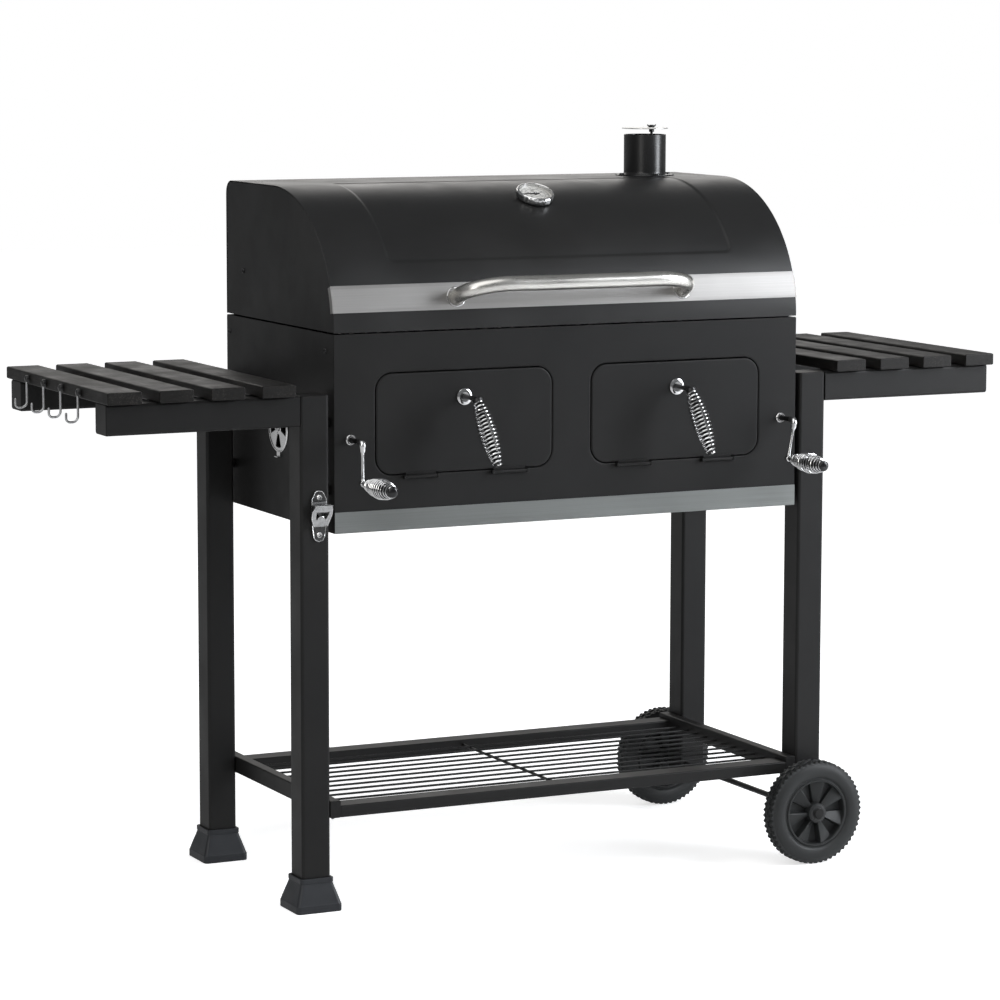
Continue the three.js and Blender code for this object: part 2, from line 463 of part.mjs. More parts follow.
const browAt = (y) => {
  const [a, b] = [LID.back + LID.brow, LID.top - LID.low];
  const sin = (LID.brow - y) / a;
  const cos = Math.sqrt(1 - sin * sin);
  return { z: LID.low + b * cos, normal: new THREE.Vector3(0, -sin / a, cos / b).normalize() };
};
{
  const half = BOX.half;
  const inner = half - LID.wall - GAP;
  const gauge = browAt(GAUGE.y);
  const shell = cut(lidBlock(0, -inner, inner), lidBlock(-LID.wall, -half, half, LID.low - 5),
    disc(FLUE.r - 5, -20, 20, [FLUE.x, FLUE.y, LID.top], [0, 1e-9, 1], 16),
    disc(GAUGE.stem + 1.5, -12, 8, [0, GAUGE.y, gauge.z], gauge.normal.toArray(), 10));
  const { x, y, z, barrel, pin, length } = HINGE;
  const leaves = [];
  const bores = [];
  SIDES.forEach(([side, s]) => {
    const [u, v] = [s * x - length / 2, s * x + length / 2];
    leaves.push(slab(u, v, LID.back - 1, LID.back + 2, z + 4, z + 42));
    leaves.push(slab(s * x - 14, s * x + 14, LID.back + 1, y, z + 1.4, z + barrel));
    leaves.push(slab(s * x - 14, s * x + 14, LID.back, LID.back + 2, z + 1.6, z + 6));
    leaves.push(rod([s * x - 14, y, z], [s * x + 14, y, z], barrel, 10));
    bores.push(rod([s * x - 20, y, z], [s * x + 20, y, z], pin + GAP, 10));
    // leaf and pin carried by the firebox
    const outer = [[u, s * x - 14.5], [s * x + 14.5, v]].flatMap(([p, q]) => [
      rod([p, y, z], [q, y, z], barrel, 10),
      slab(p, q, BOX.deep + GAP, y, z - barrel, z - 1.2)]);
    piece(`lid_hinge_${side}`, union(slab(u, v, BOX.deep + GAP, BOX.deep + 2.3, z - 42, z - 1.2),
      rod([u - 2, y, z], [v + 2, y, z], pin, 8), ...outer), 'coat');
  });
  piece('lid_shell', cut(union(shell, ...leaves), ...bores), 'coat');
  for (const [side, s] of SIDES) {
    const x0 = s < 0 ? -half : half - LID.wall;
    piece(`lid_${side}_end`, lidBlock(0, x0, x0 + LID.wall), 'coat');
  }
  const band = cut(lidBlock(GAP + LID_TRIM.t, -half, half), lidBlock(GAP, -half - 1, half + 1,
    LID.low - 5)).intersect(slab(-half, half, -300, 0, LID_TRIM.low, LID_TRIM.high));
  piece('lid_trim', band, 'steel');

  // bow handle: both ends seat square on the trim
  const seat = browAt(-222);
  const n = seat.normal;
  const [hx, hz] = [HANDLE.x, 996];
  const pts = [[-hx, -214, hz - 3], [-hx, -238, hz + 7], [-hx + 13, -262, hz + 17],
    [-hx + 52, -276, HANDLE.z - 0.5], [-80, HANDLE.y, HANDLE.z]];
  const mirrored = pts.map(([px, py, pz]) => [-px, py, pz]).reverse();
  const path = new THREE.CatmullRomCurve3([...pts, ...mirrored].map((p) => new THREE.Vector3(...p)))
    .getPoints(22);
  const seats = [-1, 1].map((s) => disc(15, -6, 4.5, [s * hx, -221, hz + 2], n.toArray(), 12));
  piece('lid_handle', cut(union(sweep(path, HANDLE.r, 10), ...seats),
    lidBlock(2 * GAP + LID_TRIM.t, -half, half, LID.low - 5)), 'steel');

  // thermometer: stem through the brow, open dial cup, needle on a pin
  const g = gauge.normal.toArray();
  const base = [0, GAUGE.y, gauge.z];
  const { r, height, stem } = GAUGE;
  piece('thermometer_case', turned([[0, -40], [stem, -40], [stem, GAP], [r - 2, GAP], [r, 2],
    [r, height], [r - 4, height], [r - 4, 5], [1.4, 5], [1.4, 8.4], [0, 8.4]], base, g, 24),
  'chrome');
  const hub = ring(1.4 + 0.25, 3.6, 6, 7.6, base, g, 10);
  const q = new THREE.Quaternion().setFromUnitVectors(new THREE.Vector3(0, 0, 1),
    gauge.normal);
  const hand = new THREE.BoxGeometry(22, 1.8, 1).translate(-13.6, 0, 6.8)
    .applyQuaternion(q).translate(...base);
  piece('thermometer_needle', union(hub, solid(hand)), 'needle');
}

// ---------------------------------------------------------------- chimney and damper
{
  const { x, y, r, wall, top, flange, off, turn } = FLUE;
  const z0 = LID.top + GAP;
  const up = [0, 1e-9, 1];
  const [px, py] = [x + off * Math.cos(rad(turn)), y + off * Math.sin(rad(turn))];
  const pipe = turned([[r - wall, z0], [flange, z0], [flange, z0 + 1.6], [r, z0 + 1.6],
    [r, top], [r - wall, top], [r - wall, z0]], [x, y, 0], up, 28);
  const lug = disc(7, top - 12, top - 8, [px, py, 0], up, 12)
    .intersect(disc(r - 0.7, 0, 2000, [x, y, 0], up, 28));
  const post = turned([[0, top - 10], [5, top - 10], [5, top + 9.7], [3, top + 9.7],
    [3, top + 11.8], [6, top + 11.8], [6, top + 16], [0, top + 16]], [px, py, 0], up, 8);
  piece('chimney_pipe', union(pipe, lug, post), 'coat');
  const cap = disc(40.5, top + 10, top + 11.5, [x, y, 0], up, 28)
    .subtract(disc(3 + GAP, top, top + 20, [px, py, 0], up, 12));
  piece('chimney_damper', cap, 'steel');
}

export default group;
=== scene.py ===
import math
from math import cos, pi, radians, sin

import bmesh
import bpy
from mathutils import Matrix, Vector


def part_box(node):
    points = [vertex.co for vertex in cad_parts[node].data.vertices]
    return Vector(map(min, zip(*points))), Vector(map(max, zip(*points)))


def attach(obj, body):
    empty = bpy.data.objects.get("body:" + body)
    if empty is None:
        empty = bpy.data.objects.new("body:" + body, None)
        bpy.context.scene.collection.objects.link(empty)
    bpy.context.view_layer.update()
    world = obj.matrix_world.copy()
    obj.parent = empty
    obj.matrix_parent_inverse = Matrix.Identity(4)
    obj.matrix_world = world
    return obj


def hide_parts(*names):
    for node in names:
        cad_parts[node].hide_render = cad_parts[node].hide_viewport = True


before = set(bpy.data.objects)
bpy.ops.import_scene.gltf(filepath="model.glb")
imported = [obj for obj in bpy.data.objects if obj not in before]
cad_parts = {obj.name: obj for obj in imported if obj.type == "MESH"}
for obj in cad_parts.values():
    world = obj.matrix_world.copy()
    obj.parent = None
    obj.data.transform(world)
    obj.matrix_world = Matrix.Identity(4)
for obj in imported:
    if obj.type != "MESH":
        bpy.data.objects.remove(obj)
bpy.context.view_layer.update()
scene = bpy.context.scene
SIDES = (("left", -1), ("right", 1))
ROWS = (("front", -1), ("rear", 1))

# Shapes are written in millimetres about the middle of the firebox, which stands centred over x = 0
# with its back wall 230 mm behind y = 0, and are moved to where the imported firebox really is.
_lo, _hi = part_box("firebox_trough")
OX, OY = (_lo.x + _hi.x) / 2, _hi.y - 0.230


def W(p):
    """Millimetres about the firebox to metres in the frame."""
    return (p[0] * 0.001 + OX, p[1] * 0.001 + OY, p[2] * 0.001)


# --- shape helpers (mm)
class Geo:
    def __init__(self, *parts):
        self.v, self.f = [], []
        for p in parts:
            self.add(p.v, p.f)

    def add(self, verts, faces):
        n = len(self.v)
        self.v += [tuple(p) for p in verts]
        self.f += [[i + n for i in f] for f in faces]
        return self

    def __iadd__(self, other):
        return self.add(other.v, other.f)


def on(axis, pts, t):
    """2-D points set into space: axis x takes (y, z), y takes (x, z), z takes (x, y)."""
    if axis == "x":
        return [(t, a, b) for a, b in pts]
    if axis == "y":
        return [(a, t, b) for a, b in pts]
    return [(a, b, t) for a, b in pts]


def loft(rings, close=False):
    g, n, m = Geo(), len(rings[0]), len(rings)
    faces = []
    for i in range(m if close else m - 1):
        a, b = i * n, ((i + 1) % m) * n
        faces += [[a + k, a + (k + 1) % n, b + (k + 1) % n, b + k] for k in range(n)]
    if not close:
        faces.append(list(range(n))[::-1])
        faces.append([(m - 1) * n + k for k in range(n)])
    return g.add([p for r in rings for p in r], faces)


def rr(cx, cy, w, h, r, n=6):
    pts = []
    for sx, sy, a0 in ((1, 1, 0), (-1, 1, 90), (-1, -1, 180), (1, -1, 270)):
        ox, oy = cx + sx * (w / 2 - r), cy + sy * (h / 2 - r)
        for k in range(n + 1):
            a = radians(a0 + 90 * k / n)
            pts.append((ox + r * cos(a), oy + r * sin(a)))
    return pts


def bar(axis, a, b, cu, cv, w, h, r, ease=0.8, n=5):
    """Rounded bar along an axis with eased ends."""
    rings = []
    for t, i in ((a, ease), (a + 0.3 * ease, 0.3 * ease), (a + ease, 0),
                 (b - ease, 0), (b - 0.3 * ease, 0.3 * ease), (b, ease)):
        rings.append(on(axis, rr(cu, cv, w - 2 * i, h - 2 * i, max(r - i, 0.15), n), t))
    return loft(rings)


def block(x0, x1, y0, y1, z0, z1, ease=0.5):
    x0, x1, y0, y1 = min(x0, x1), max(x0, x1), min(y0, y1), max(y0, y1)
    return bar("z", z0, z1, (x0 + x1) / 2, (y0 + y1) / 2, x1 - x0, y1 - y0, ease, ease, 2)


def basis(d):
    d = Vector(d).normalized()
    s = Vector((0, 0, 1)) if abs(d.z) < 0.9 else Vector((1, 0, 0))
    u = s.cross(d).normalized()
    return u, d.cross(u), d


def lathe(profile, base, d, seg=40, ripple=None):
    u, v, n = basis(d)
    base = Vector(base)
    rings = []
    for i, (r, h) in enumerate(profile):
        ring = []
        for k in range(seg):
            a = 2 * pi * k / seg
            q = max(r, 0.02) + (ripple(i, a) if ripple else 0)
            ring.append(base + n * h + u * (q * cos(a)) + v * (q * sin(a)))
        rings.append(ring)
    if profile[0] == profile[-1]:
        return loft(rings[:-1], close=True)
    return loft(rings)


def tube(path, r, seg=12, ends="flat"):
    P = [Vector(p) for p in path]
    R = list(r) if isinstance(r, (list, tuple)) else [r] * len(P)
    T = [(P[min(i + 1, len(P) - 1)] - P[max(i - 1, 0)]).normalized() for i in range(len(P))]
    side = T[0].cross(Vector((0.31, 0.17, 0.94))).normalized()
    rings = []

    def ring(c, s, t, q):
        w = t.cross(s)
        return [c + s * (q * cos(2 * pi * k / seg)) + w * (q * sin(2 * pi * k / seg)) for k in range(seg)]

    for i, p in enumerate(P):
        side = (side - T[i] * side.dot(T[i])).normalized()
        if i == 0 and ends == "round":
            for a in (88, 60, 30):
                rings.append(ring(p - T[0] * R[0] * sin(radians(a)), side, T[0], R[0] * cos(radians(a))))
        rings.append(ring(p, side, T[i], R[i]))
    if ends == "round":
        for a in (30, 60, 88):
            rings.append(ring(P[-1] + T[-1] * R[-1] * sin(radians(a)), side, T[-1], R[-1] * cos(radians(a))))
    return loft(rings)


def bent(points, radius, n=8):
    """Straight runs joined by round elbows."""
    P = [Vector(p) for p in points]
    out = [P[0]]
    for i in range(1, len(P) - 1):
        a, b = (P[i - 1] - P[i]).normalized(), (P[i + 1] - P[i]).normalized()
        half = math.acos(max(-1, min(1, a.dot(b)))) / 2
        back = min(radius / math.tan(half), 0.48 * min((P[i - 1] - P[i]).length, (P[i + 1] - P[i]).length))
        q = back * math.tan(half)
        c = P[i] + (a + b).normalized() * (q / sin(half))
        s, e = P[i] + a * back - c, P[i] + b * back - c
        sweep = pi - 2 * half
        axis = s.cross(e).normalized()
        for k in range(n + 1):
            out.append(c + Matrix.Rotation(sweep * k / n, 3, axis) @ s)
    out.append(P[-1])
    return out


def smooth(points, per=10):
    P = [Vector(p) for p in points]
    P = [2 * P[0] - P[1]] + P + [2 * P[-1] - P[-2]]
    out = []
    for i in range(1, len(P) - 2):
        p0, p1, p2, p3 = P[i - 1:i + 3]
        d = [max((b - a).length, 1e-6) ** 0.5 for a, b in ((p0, p1), (p1, p2), (p2, p3))]
        m1 = (p2 - p1) + d[1] * ((p1 - p0) / d[0] - (p2 - p0) / (d[0] + d[1]))
        m2 = (p2 - p1) + d[1] * ((p3 - p2) / d[2] - (p3 - p1) / (d[1] + d[2]))
        for k in range(per):
            t = k / per
            out.append(p1 * (2 * t**3 - 3 * t**2 + 1) + m1 * (t**3 - 2 * t**2 + t)
                       + p2 * (3 * t**2 - 2 * t**3) + m2 * (t**3 - t**2))
    return out + [P[-2]]


def follow(table, h):
    for (a, p), (b, q) in zip(table, table[1:]):
        if h <= b:
            t = max(0.0, (h - a) / (b - a))
            t = t * t * (3 - 2 * t) * 0.5 + t * 0.5
            return p + (q - p) * t
    return table[-1][1]


def coil(base, d, table, turns, wire, a=0.0, step=20, seg=8):
    """Wire wound round a barrel whose radius follows the table of (height, radius)."""
    u, v, n = basis(d)
    base = Vector(base)
    h0, h1 = table[0][0], table[-1][0]
    path = []
    for i in range(int(turns * step) + 1):
        t = i / (turns * step)
        h = h0 + (h1 - h0) * t
        q = follow(table, h) - wire
        w = 2 * pi * turns * t + a
        path.append(base + n * h + u * (q * cos(w)) + v * (q * sin(w)))
    return tube(path, wire, seg, "round")


def from_curve(cu, place):
    """Mesh a curve, set each of its points into space with place(), and drop the curve."""
    ob = bpy.data.objects.new("tmp", cu)
    scene.collection.objects.link(ob)
    me = bpy.data.meshes.new_from_object(ob.evaluated_get(bpy.context.evaluated_depsgraph_get()))
    g = Geo().add([place(p.co) for p in me.vertices], [list(p.vertices) for p in me.polygons])
    bpy.data.objects.remove(ob)
    bpy.data.curves.remove(cu)
    bpy.data.meshes.remove(me)
    return g


def plate(loops, origin, u, v, t0, t1, ease=0.4):
    """Sheet with holes: the first loop is the outline. It lies in the plane of u and v, thick along u x v."""
    cu = bpy.data.curves.new("tmp", "CURVE")
    cu.dimensions, cu.fill_mode = "2D", "BOTH"
    for loop in loops:
        sp = cu.splines.new("POLY")
        sp.points.add(len(loop) - 1)
        for q, (a, b) in zip(sp.points, loop):
            q.co = (a, b, 0, 1)
        sp.use_cyclic_u = True
    cu.extrude, cu.bevel_depth, cu.bevel_resolution, cu.offset = (t1 - t0) / 2 - ease, ease, 1, -ease
    o, u, v = Vector(origin), Vector(u), Vector(v)
    w, mid = u.cross(v), (t0 + t1) / 2
    return from_curve(cu, lambda p: o + u * p.x + v * p.y + w * (p.z + mid))


def sheet_y(loops, y0, y1, ease=0.4):
    """Sheet drawn in (x, z) between two y planes."""
    return plate(loops, (0, 0, 0), (1, 0, 0), (0, 0, 1), -y1, -y0, ease)


def sheet_x(loops, x0, x1, ease=0.4):
    """Sheet drawn in (y, z) between two x planes."""
    return plate(loops, (0, 0, 0), (0, 1, 0), (0, 0, 1), min(x0, x1), max(x0, x1), ease)


def circle(cx, cy, r, n=32):
    return [(cx + r * cos(2 * pi * k / n), cy + r * sin(2 * pi * k / n)) for k in range(n)]


def screw(p, n, r=4.5, h=2.6):
    """Pan head with a round recess."""
    return lathe([(0, h * 0.35), (r * 0.40, h * 0.3), (r * 0.44, h * 0.96), (r * 0.68, h), (r * 0.90, h * 0.74),
                  (r, h * 0.25), (r, -0.4), (0, -0.4)], p, n, 18)


def hexnut(p, n, r=6, h=5):
    u, v, w = basis(n)
    c = Vector(p)
    rings = []
    for q, k in ((r * 0.9, 0), (r, 0.12 * h), (r, 0.85 * h), (r * 0.88, h)):
        rings.append([c + w * k + u * (q * cos(pi / 3 * i)) + v * (q * sin(pi / 3 * i)) for i in range(6)])
    return Geo(loft(rings), lathe([(r * 0.5, h - 0.2), (r * 0.5, h * 1.35), (r * 0.35, h * 1.5), (0, h * 1.5)], p,
                                  n, 14))


def piece(name, geo, body, material, replaces=(), sharp=34):
    me = bpy.data.meshes.new(name)
    me.from_pydata([W(p) for p in geo.v], [], geo.f)
    bm = bmesh.new()
    bm.from_mesh(me)
    bmesh.ops.remove_doubles(bm, verts=bm.verts, dist=3e-6)
    bmesh.ops.dissolve_degenerate(bm, edges=bm.edges, dist=1e-6)
    bmesh.ops.recalc_face_normals(bm, faces=bm.faces)
    bm.to_mesh(me)
    bm.free()
    for p in me.polygons:
        p.use_smooth = True
    me.set_sharp_from_angle(angle=radians(sharp))
    ob = bpy.data.objects.new(name, me)
    scene.collection.objects.link(ob)
    me.materials.append(material)
    w = ob.modifiers.new("flats", "WEIGHTED_NORMAL")
    w.keep_sharp, w.weight = True, 60
    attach(ob, body)
    if replaces:
        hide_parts(*replaces)


# --- materials
class Mat:
    def __init__(self, name):
        self.m = bpy.data.materials.new(name)
        self.m.use_nodes = True
        self.nt = self.m.node_tree
        self.b = self.nt.nodes["Principled BSDF"]
        self.co = self.nt.nodes.new("ShaderNodeTexCoord").outputs["Object"]

    def put(self, **kw):
        for k, v in kw.items():
            self.b.inputs[k.replace("_", " ")].default_value = v
        return self

    def node(self, kind, source, into, **values):
        """A new node with some inputs set and one linked."""
        n = self.nt.nodes.new("ShaderNode" + kind)
        for k, v in values.items():
            n.inputs[k.replace("_", " ")].default_value = v
        self.nt.links.new(source, n.inputs[into])
        return n

    def stretch(self, x, y, z):
        return self.node("Mapping", self.co, "Vector", Scale=(x, y, z)).outputs["Vector"]

    def noise(self, scale, detail=3.0, rough=0.5, vector=None, warp=0.0):
        return self.node("TexNoise", vector or self.co, "Vector", Scale=scale, Detail=detail, Roughness=rough,
                         Distortion=warp).outputs["Fac"]

    def cells(self, scale):
        return self.node("TexVoronoi", self.co, "Vector", Scale=scale).outputs["Distance"]

    def ramp(self, fac, stops):
        n = self.node("ValToRGB", fac, "Fac")
        while len(n.color_ramp.elements) < len(stops):
            n.color_ramp.elements.new(0.5)
        for e, (p, c) in zip(n.color_ramp.elements, stops):
            e.position = p
            e.color = (*c, 1) if isinstance(c, tuple) else (c, c, c, 1)
        return n.outputs["Color"]

    def span(self, fac, a, b, low=0.3, high=0.7):
        return self.node("MapRange", fac, "Value", From_Min=low, From_Max=high, To_Min=a,
                         To_Max=b).outputs["Result"]

    def mix(self, fac, a, b):
        n = self.nt.nodes.new("ShaderNodeMix")
        n.data_type = "RGBA"
        for key, val in (("Factor", fac), ("A", a), ("B", b)):
            s = [i for i in n.inputs if i.name == key and i.type == ("VALUE" if key == "Factor" else "RGBA")][0]
            if isinstance(val, bpy.types.NodeSocket):
                self.nt.links.new(val, s)
            else:
                s.default_value = val if key == "Factor" else (*val, 1)
        return [o for o in n.outputs if o.type == "RGBA"][0]

    def sum(self, a, b, k=1.0):
        n = self.nt.nodes.new("ShaderNodeMath")
        n.operation = "MULTIPLY_ADD"
        self.nt.links.new(b, n.inputs[0])
        n.inputs[1].default_value = k
        self.nt.links.new(a, n.inputs[2])
        return n.outputs["Value"]

    def bump(self, height, strength, distance):
        n = self.node("Bump", height, "Height", Strength=strength, Distance=distance)
        last = self.b.inputs["Normal"].links
        if last:
            self.nt.links.new(last[0].from_socket, n.inputs["Normal"])
        self.nt.links.new(n.outputs["Normal"], self.b.inputs["Normal"])
        return self

    def dress(self, color, rough, height, strength, distance):
        """Colour, roughness and bump, and the finished material back."""
        self.nt.links.new(color, self.b.inputs["Base Color"])
        self.nt.links.new(rough, self.b.inputs["Roughness"])
        return self.bump(height, strength, distance).m


def powder_coat(name, base=0.0100, rough=0.47, level=0.20, peel=0.10):
    """Satin black powder coat: fine orange peel, faint cloudiness, rare pale dust specks."""
    k = Mat(name).put(Metallic=0.0, Specular_IOR_Level=level)
    cloud = k.noise(4.5, 4)
    tone = k.ramp(cloud, [(0.3, (base * 0.86, base * 0.86, base * 0.87)),
                          (0.7, (base * 1.18, base * 1.15, base * 1.12))])
    dust = k.ramp(k.noise(520, 2, 0.6), [(0.70, 0.0), (0.80, 1.0)])
    return k.dress(k.mix(dust, tone, (base * 2.1, base * 2.1, base * 2.05)),
                   k.span(k.noise(11, 3), rough - 0.045, rough + 0.055),
                   k.noise(650, 2, 0.45), peel, 0.0006)


def brushed(name, tint, rough, fine=1.0, depth=0.80):
    """Brushed stainless: long fine grain along x, soft smears across it."""
    k = Mat(name).put(Metallic=1.0)
    grain = k.noise(1.0, 3, 0.65, k.stretch(3, 900, 900))
    smear = k.noise(7, 3, 0.5)
    dark = tuple(c * depth for c in tint)
    return k.dress(k.mix(k.span(grain, 0.0, 1.0, 0.25, 0.75), dark, tint),
                   k.sum(k.span(grain, rough - 0.06, rough + 0.08, 0.25, 0.75), k.span(smear, -0.05, 0.05)),
                   grain, 0.12 * fine, 0.0002)


def chrome(name, rough=0.10, value=0.8):
    k = Mat(name).put(Metallic=1.0)
    smudge = k.noise(26, 4, 0.6)
    return k.dress(k.ramp(smudge, [(0.3, (value * 0.93,) * 3), (0.7, (value * 1.07,) * 3)]),
                   k.span(smudge, rough - 0.03, rough + 0.10),
                   k.noise(240, 2), 0.03, 0.0003)


def zinc(name, value=0.50, rough=0.36):
    k = Mat(name).put(Metallic=1.0)
    flake = k.cells(190)
    return k.dress(k.ramp(flake, [(0.0, (value * 0.8,) * 3), (0.9, (value * 1.15, value * 1.15, value * 1.17))]),
                   k.span(k.noise(60, 3), rough - 0.08, rough + 0.12),
                   k.noise(420, 3), 0.08, 0.0003)


def moulded(name, base, rough, grain, strength=0.25, level=0.4):
    """Moulded plastic or rubber with a fine leather-like grain and soft wear."""
    k = Mat(name).put(Metallic=0.0, Specular_IOR_Level=level)
    wear = k.noise(22, 5, 0.6)
    return k.dress(k.ramp(wear, [(0.32, tuple(c * 0.85 for c in base)), (0.62, base),
                                 (0.8, tuple(c * 1.45 for c in base))]),
                   k.span(wear, rough - 0.07, rough + 0.08),
                   k.cells(grain), strength, 0.0004)


def slat_wood(name, seed):
    """Black-stained softwood: grain along the board, pores, worn pale flecks on a satin finish."""
    k = Mat(name).put(Metallic=0.0, Specular_IOR_Level=0.22)
    move = k.node("Mapping", k.co, "Vector", Location=(seed * 1.7, seed * 0.9, seed * 0.4), Scale=(46, 2.6, 46))
    ring = k.noise(1.0, 4, 0.55, move.outputs["Vector"], 1.3)
    pores = k.noise(1.0, 2, 0.6, k.stretch(420, 22, 420))
    mottle = k.noise(16, 4, 0.6)
    tone = k.ramp(ring, [(0.30, (0.0045, 0.0042, 0.0039)), (0.48, (0.0090, 0.0083, 0.0076)),
                         (0.60, (0.0060, 0.0055, 0.0051)), (0.75, (0.0135, 0.0124, 0.0113))])
    flecks = k.ramp(k.sum(pores, mottle, 0.6), [(0.86, 0.0), (0.98, 0.55)])
    k.dress(k.mix(flecks, tone, (0.036, 0.033, 0.030)),
            k.sum(k.span(mottle, 0.42, 0.62), k.span(pores, -0.04, 0.06)),
            ring, 0.22, 0.0012)
    k.bump(pores, 0.18, 0.0005)
    return k.m


def enamel(name):
    """Gloss enamel with a fired ripple and pinprick speckle."""
    k = Mat(name).put(Metallic=0.0, Specular_IOR_Level=0.5)
    spots = k.ramp(k.cells(300), [(0.05, 1.0), (0.11, 0.0)])
    return k.dress(k.mix(spots, (0.012, 0.012, 0.012), (0.07, 0.07, 0.07)),
                   k.span(k.noise(30, 3), 0.2, 0.36),
                   k.noise(120, 2), 0.10, 0.0006)


def dial_face(name):
    k = Mat(name).put(Metallic=0.0)
    return k.dress(k.ramp(k.noise(90, 3), [(0.3, (0.62, 0.61, 0.58)), (0.7, (0.74, 0.73, 0.70))]),
                   k.span(k.noise(200, 2), 0.38, 0.5),
                   k.noise(900, 2), 0.05, 0.0002)


def paint(name, color, rough=0.4):
    k = Mat(name).put(Metallic=0.0)
    return k.dress(k.ramp(k.noise(150, 3), [(0.3, tuple(c * 0.85 for c in color)),
                                            (0.7, tuple(c * 1.12 for c in color))]),
                   k.span(k.noise(80, 2), rough - 0.06, rough + 0.06),
                   k.noise(700, 2), 0.06, 0.0002)


COAT = powder_coat("coat")
COAT_LID = powder_coat("coat_lid", 0.0110, 0.40, 0.36, 0.09)
COAT_FRAME = powder_coat("coat_frame", 0.0100, 0.46, 0.22, 0.11)
COAT_PIPE = powder_coat("coat_pipe", 0.009, 0.27, 0.5, 0.05)
TRIM = brushed("brushed_trim", (0.35, 0.342, 0.332), 0.48)
# darker copy of the band's brushed steel for the strip under the lid: painted shade
TRIM_SHADED = brushed("brushed_trim_shaded", (0.25, 0.262, 0.256), 0.38)
TUBE_STEEL = brushed("handle_steel", (0.70, 0.685, 0.65), 0.27, 0.15, 0.93)
CAP_STEEL = brushed("damper_steel", (0.66, 0.66, 0.65), 0.28)
CHROME = chrome("chrome", 0.09, 0.66)
SATIN_CHROME = chrome("vent_chrome", 0.17, 0.70)
RING_STEEL = chrome("ring_chrome", 0.12, 0.48)
ZINC = zinc("zinc")
# stamped steel made far darker than steel is: painted shade for the opener strap's face
STAMPED_SHADED = zinc("stamped_steel_painted_shade", 0.10, 0.17)
HOOD_STEEL = zinc("hood_steel", 0.42, 0.24)
SCREW = zinc("screw_black", 0.055, 0.34)
BOOT = moulded("boot_plastic", (0.0180, 0.0198, 0.0235), 0.46, 1500, 0.16)
TYRE = moulded("tyre_plastic", (0.0135, 0.0146, 0.0148), 0.50, 1100, 0.22, 0.38)
KNOB = moulded("knob_plastic", (0.010, 0.010, 0.0105), 0.32, 1300, 0.08, 0.5)
ENAMEL = enamel("enamel")
DIAL = dial_face("dial_white")
INK = paint("dial_ink", (0.02, 0.02, 0.022), 0.5)
# near-black, dull sleeve for inside the coils: painted shade for the dark seen between the turns
DARK_SHADE_CORE = moulded("grip_core_painted_shade", (0.004, 0.004, 0.004), 0.6, 900, 0.1, 0.15)
DARK_ROD = zinc("rod_black", 0.05, 0.32)
GLOSS = moulded("cap_gloss", (0.005, 0.005, 0.0055), 0.16, 700, 0.03, 0.5)

# --- legs and boots
LEG_X, LEG_Y = 464.0, 205.0
for side, s in SIDES:
    for row, t in ROWS:
        x, y = s * LEG_X, t * LEG_Y
        low = 8 if s < 0 else 62
        rings = [on("z", rr(x, y, 47, 47, 3.6), low + 40), on("z", rr(x, y, 47, 47, 3.6), low + 0.4),
                 on("z", rr(x, y, 48.6, 48.6, 4.4), low), on("z", rr(x, y, 50, 50, 5), low + 0.7)]
        # eased shoulder under a pressed-in flat cap
        rings += [on("z", rr(x, y, 50, 50, 5), 845.6), on("z", rr(x, y, 49.2, 49.2, 4.6), 847.0),
                  on("z", rr(x, y, 47.0, 47.0, 3.6), 847.9), on("z", rr(x, y, 45.6, 45.6, 3), 848.0)]
        g = Geo(loft(rings))
        for z in (690, 800):
            g += lathe([(0, 0), (8, 0), (8, 9.4), (0, 9.4)], (s * 439.6, y, z), (-s, 0, 0), 24)
        piece(f"leg_{row}_{side}_tube", g, "stand", COAT_FRAME, [f"leg_{row}_{side}"])

for row, t in ROWS:
    x, y = -LEG_X, t * LEG_Y
    prof = [(38.6, 0.0, 6), (39.6, 0.5, 6.6), (40, 1.4, 7), (40, 12.4, 7), (39.4, 13.2, 6.8), (38.8, 14.6, 6.6),
            (37.4, 19.5, 6.4), (35.6, 25, 6.2), (33.7, 31, 6), (31.3, 38, 5.8), (29.4, 44, 5.6), (28.6, 47.2, 5.5),
            (28.6, 47.6, 5.5), (29.3, 48.2, 5.8), (29.4, 54.6, 5.8), (28.8, 55.7, 5.5), (27.6, 56, 5),
            (26.2, 55.6, 5), (25.5, 54.6, 4.6), (25.5, 46, 4.6)]
    rings = [on("z", rr(x, y, 2 * h, 2 * h, r, 7), z) for h, z, r in prof]
    piece(f"foot_{row}_boot", Geo(loft(rings)), "stand", BOOT, [f"foot_{row}"], 40)

# --- shelf
g = Geo()
for s in (-1, 1):
    g += bar("y", -229.5, 229.5, s * 429.35, 166.5, 18.7, 29, 2.4, 1.0)
    g += bar("x", -419.9, 419.9, s * 209.5, 162, 40, 20, 2.4, 0.4)
piece("shelf_frame_rails", g, "stand", COAT_FRAME, ["shelf_frame"])
g = Geo(tube([(0, -189.2, 163), (0, 189.2, 163)], 2.5, 10))
for n in range(1, 11):
    y = -189.5 + 379 * n / 11
    g += tube([(-419.7, y, 166), (419.7, y, 166)], 2.0, 10)
piece("shelf_wires", g, "stand", COAT_FRAME, ["shelf_grid"])

# --- axle and wheels
AX, AZ, WY = 450.0, 90.0, 271.0
g = tube([(AX, -292, AZ), (AX, 292, AZ)], 5, 20)
for t in (-1, 1):
    g += lathe([(0, 0), (8.6, 0), (9, 0.6), (9, 3.2), (7.6, 4.6), (0, 5.0)], (AX, t * 292, AZ), (0, t, 0), 24)
piece("axle_rod", g, "stand", COAT_FRAME, ["wheel_axle"])


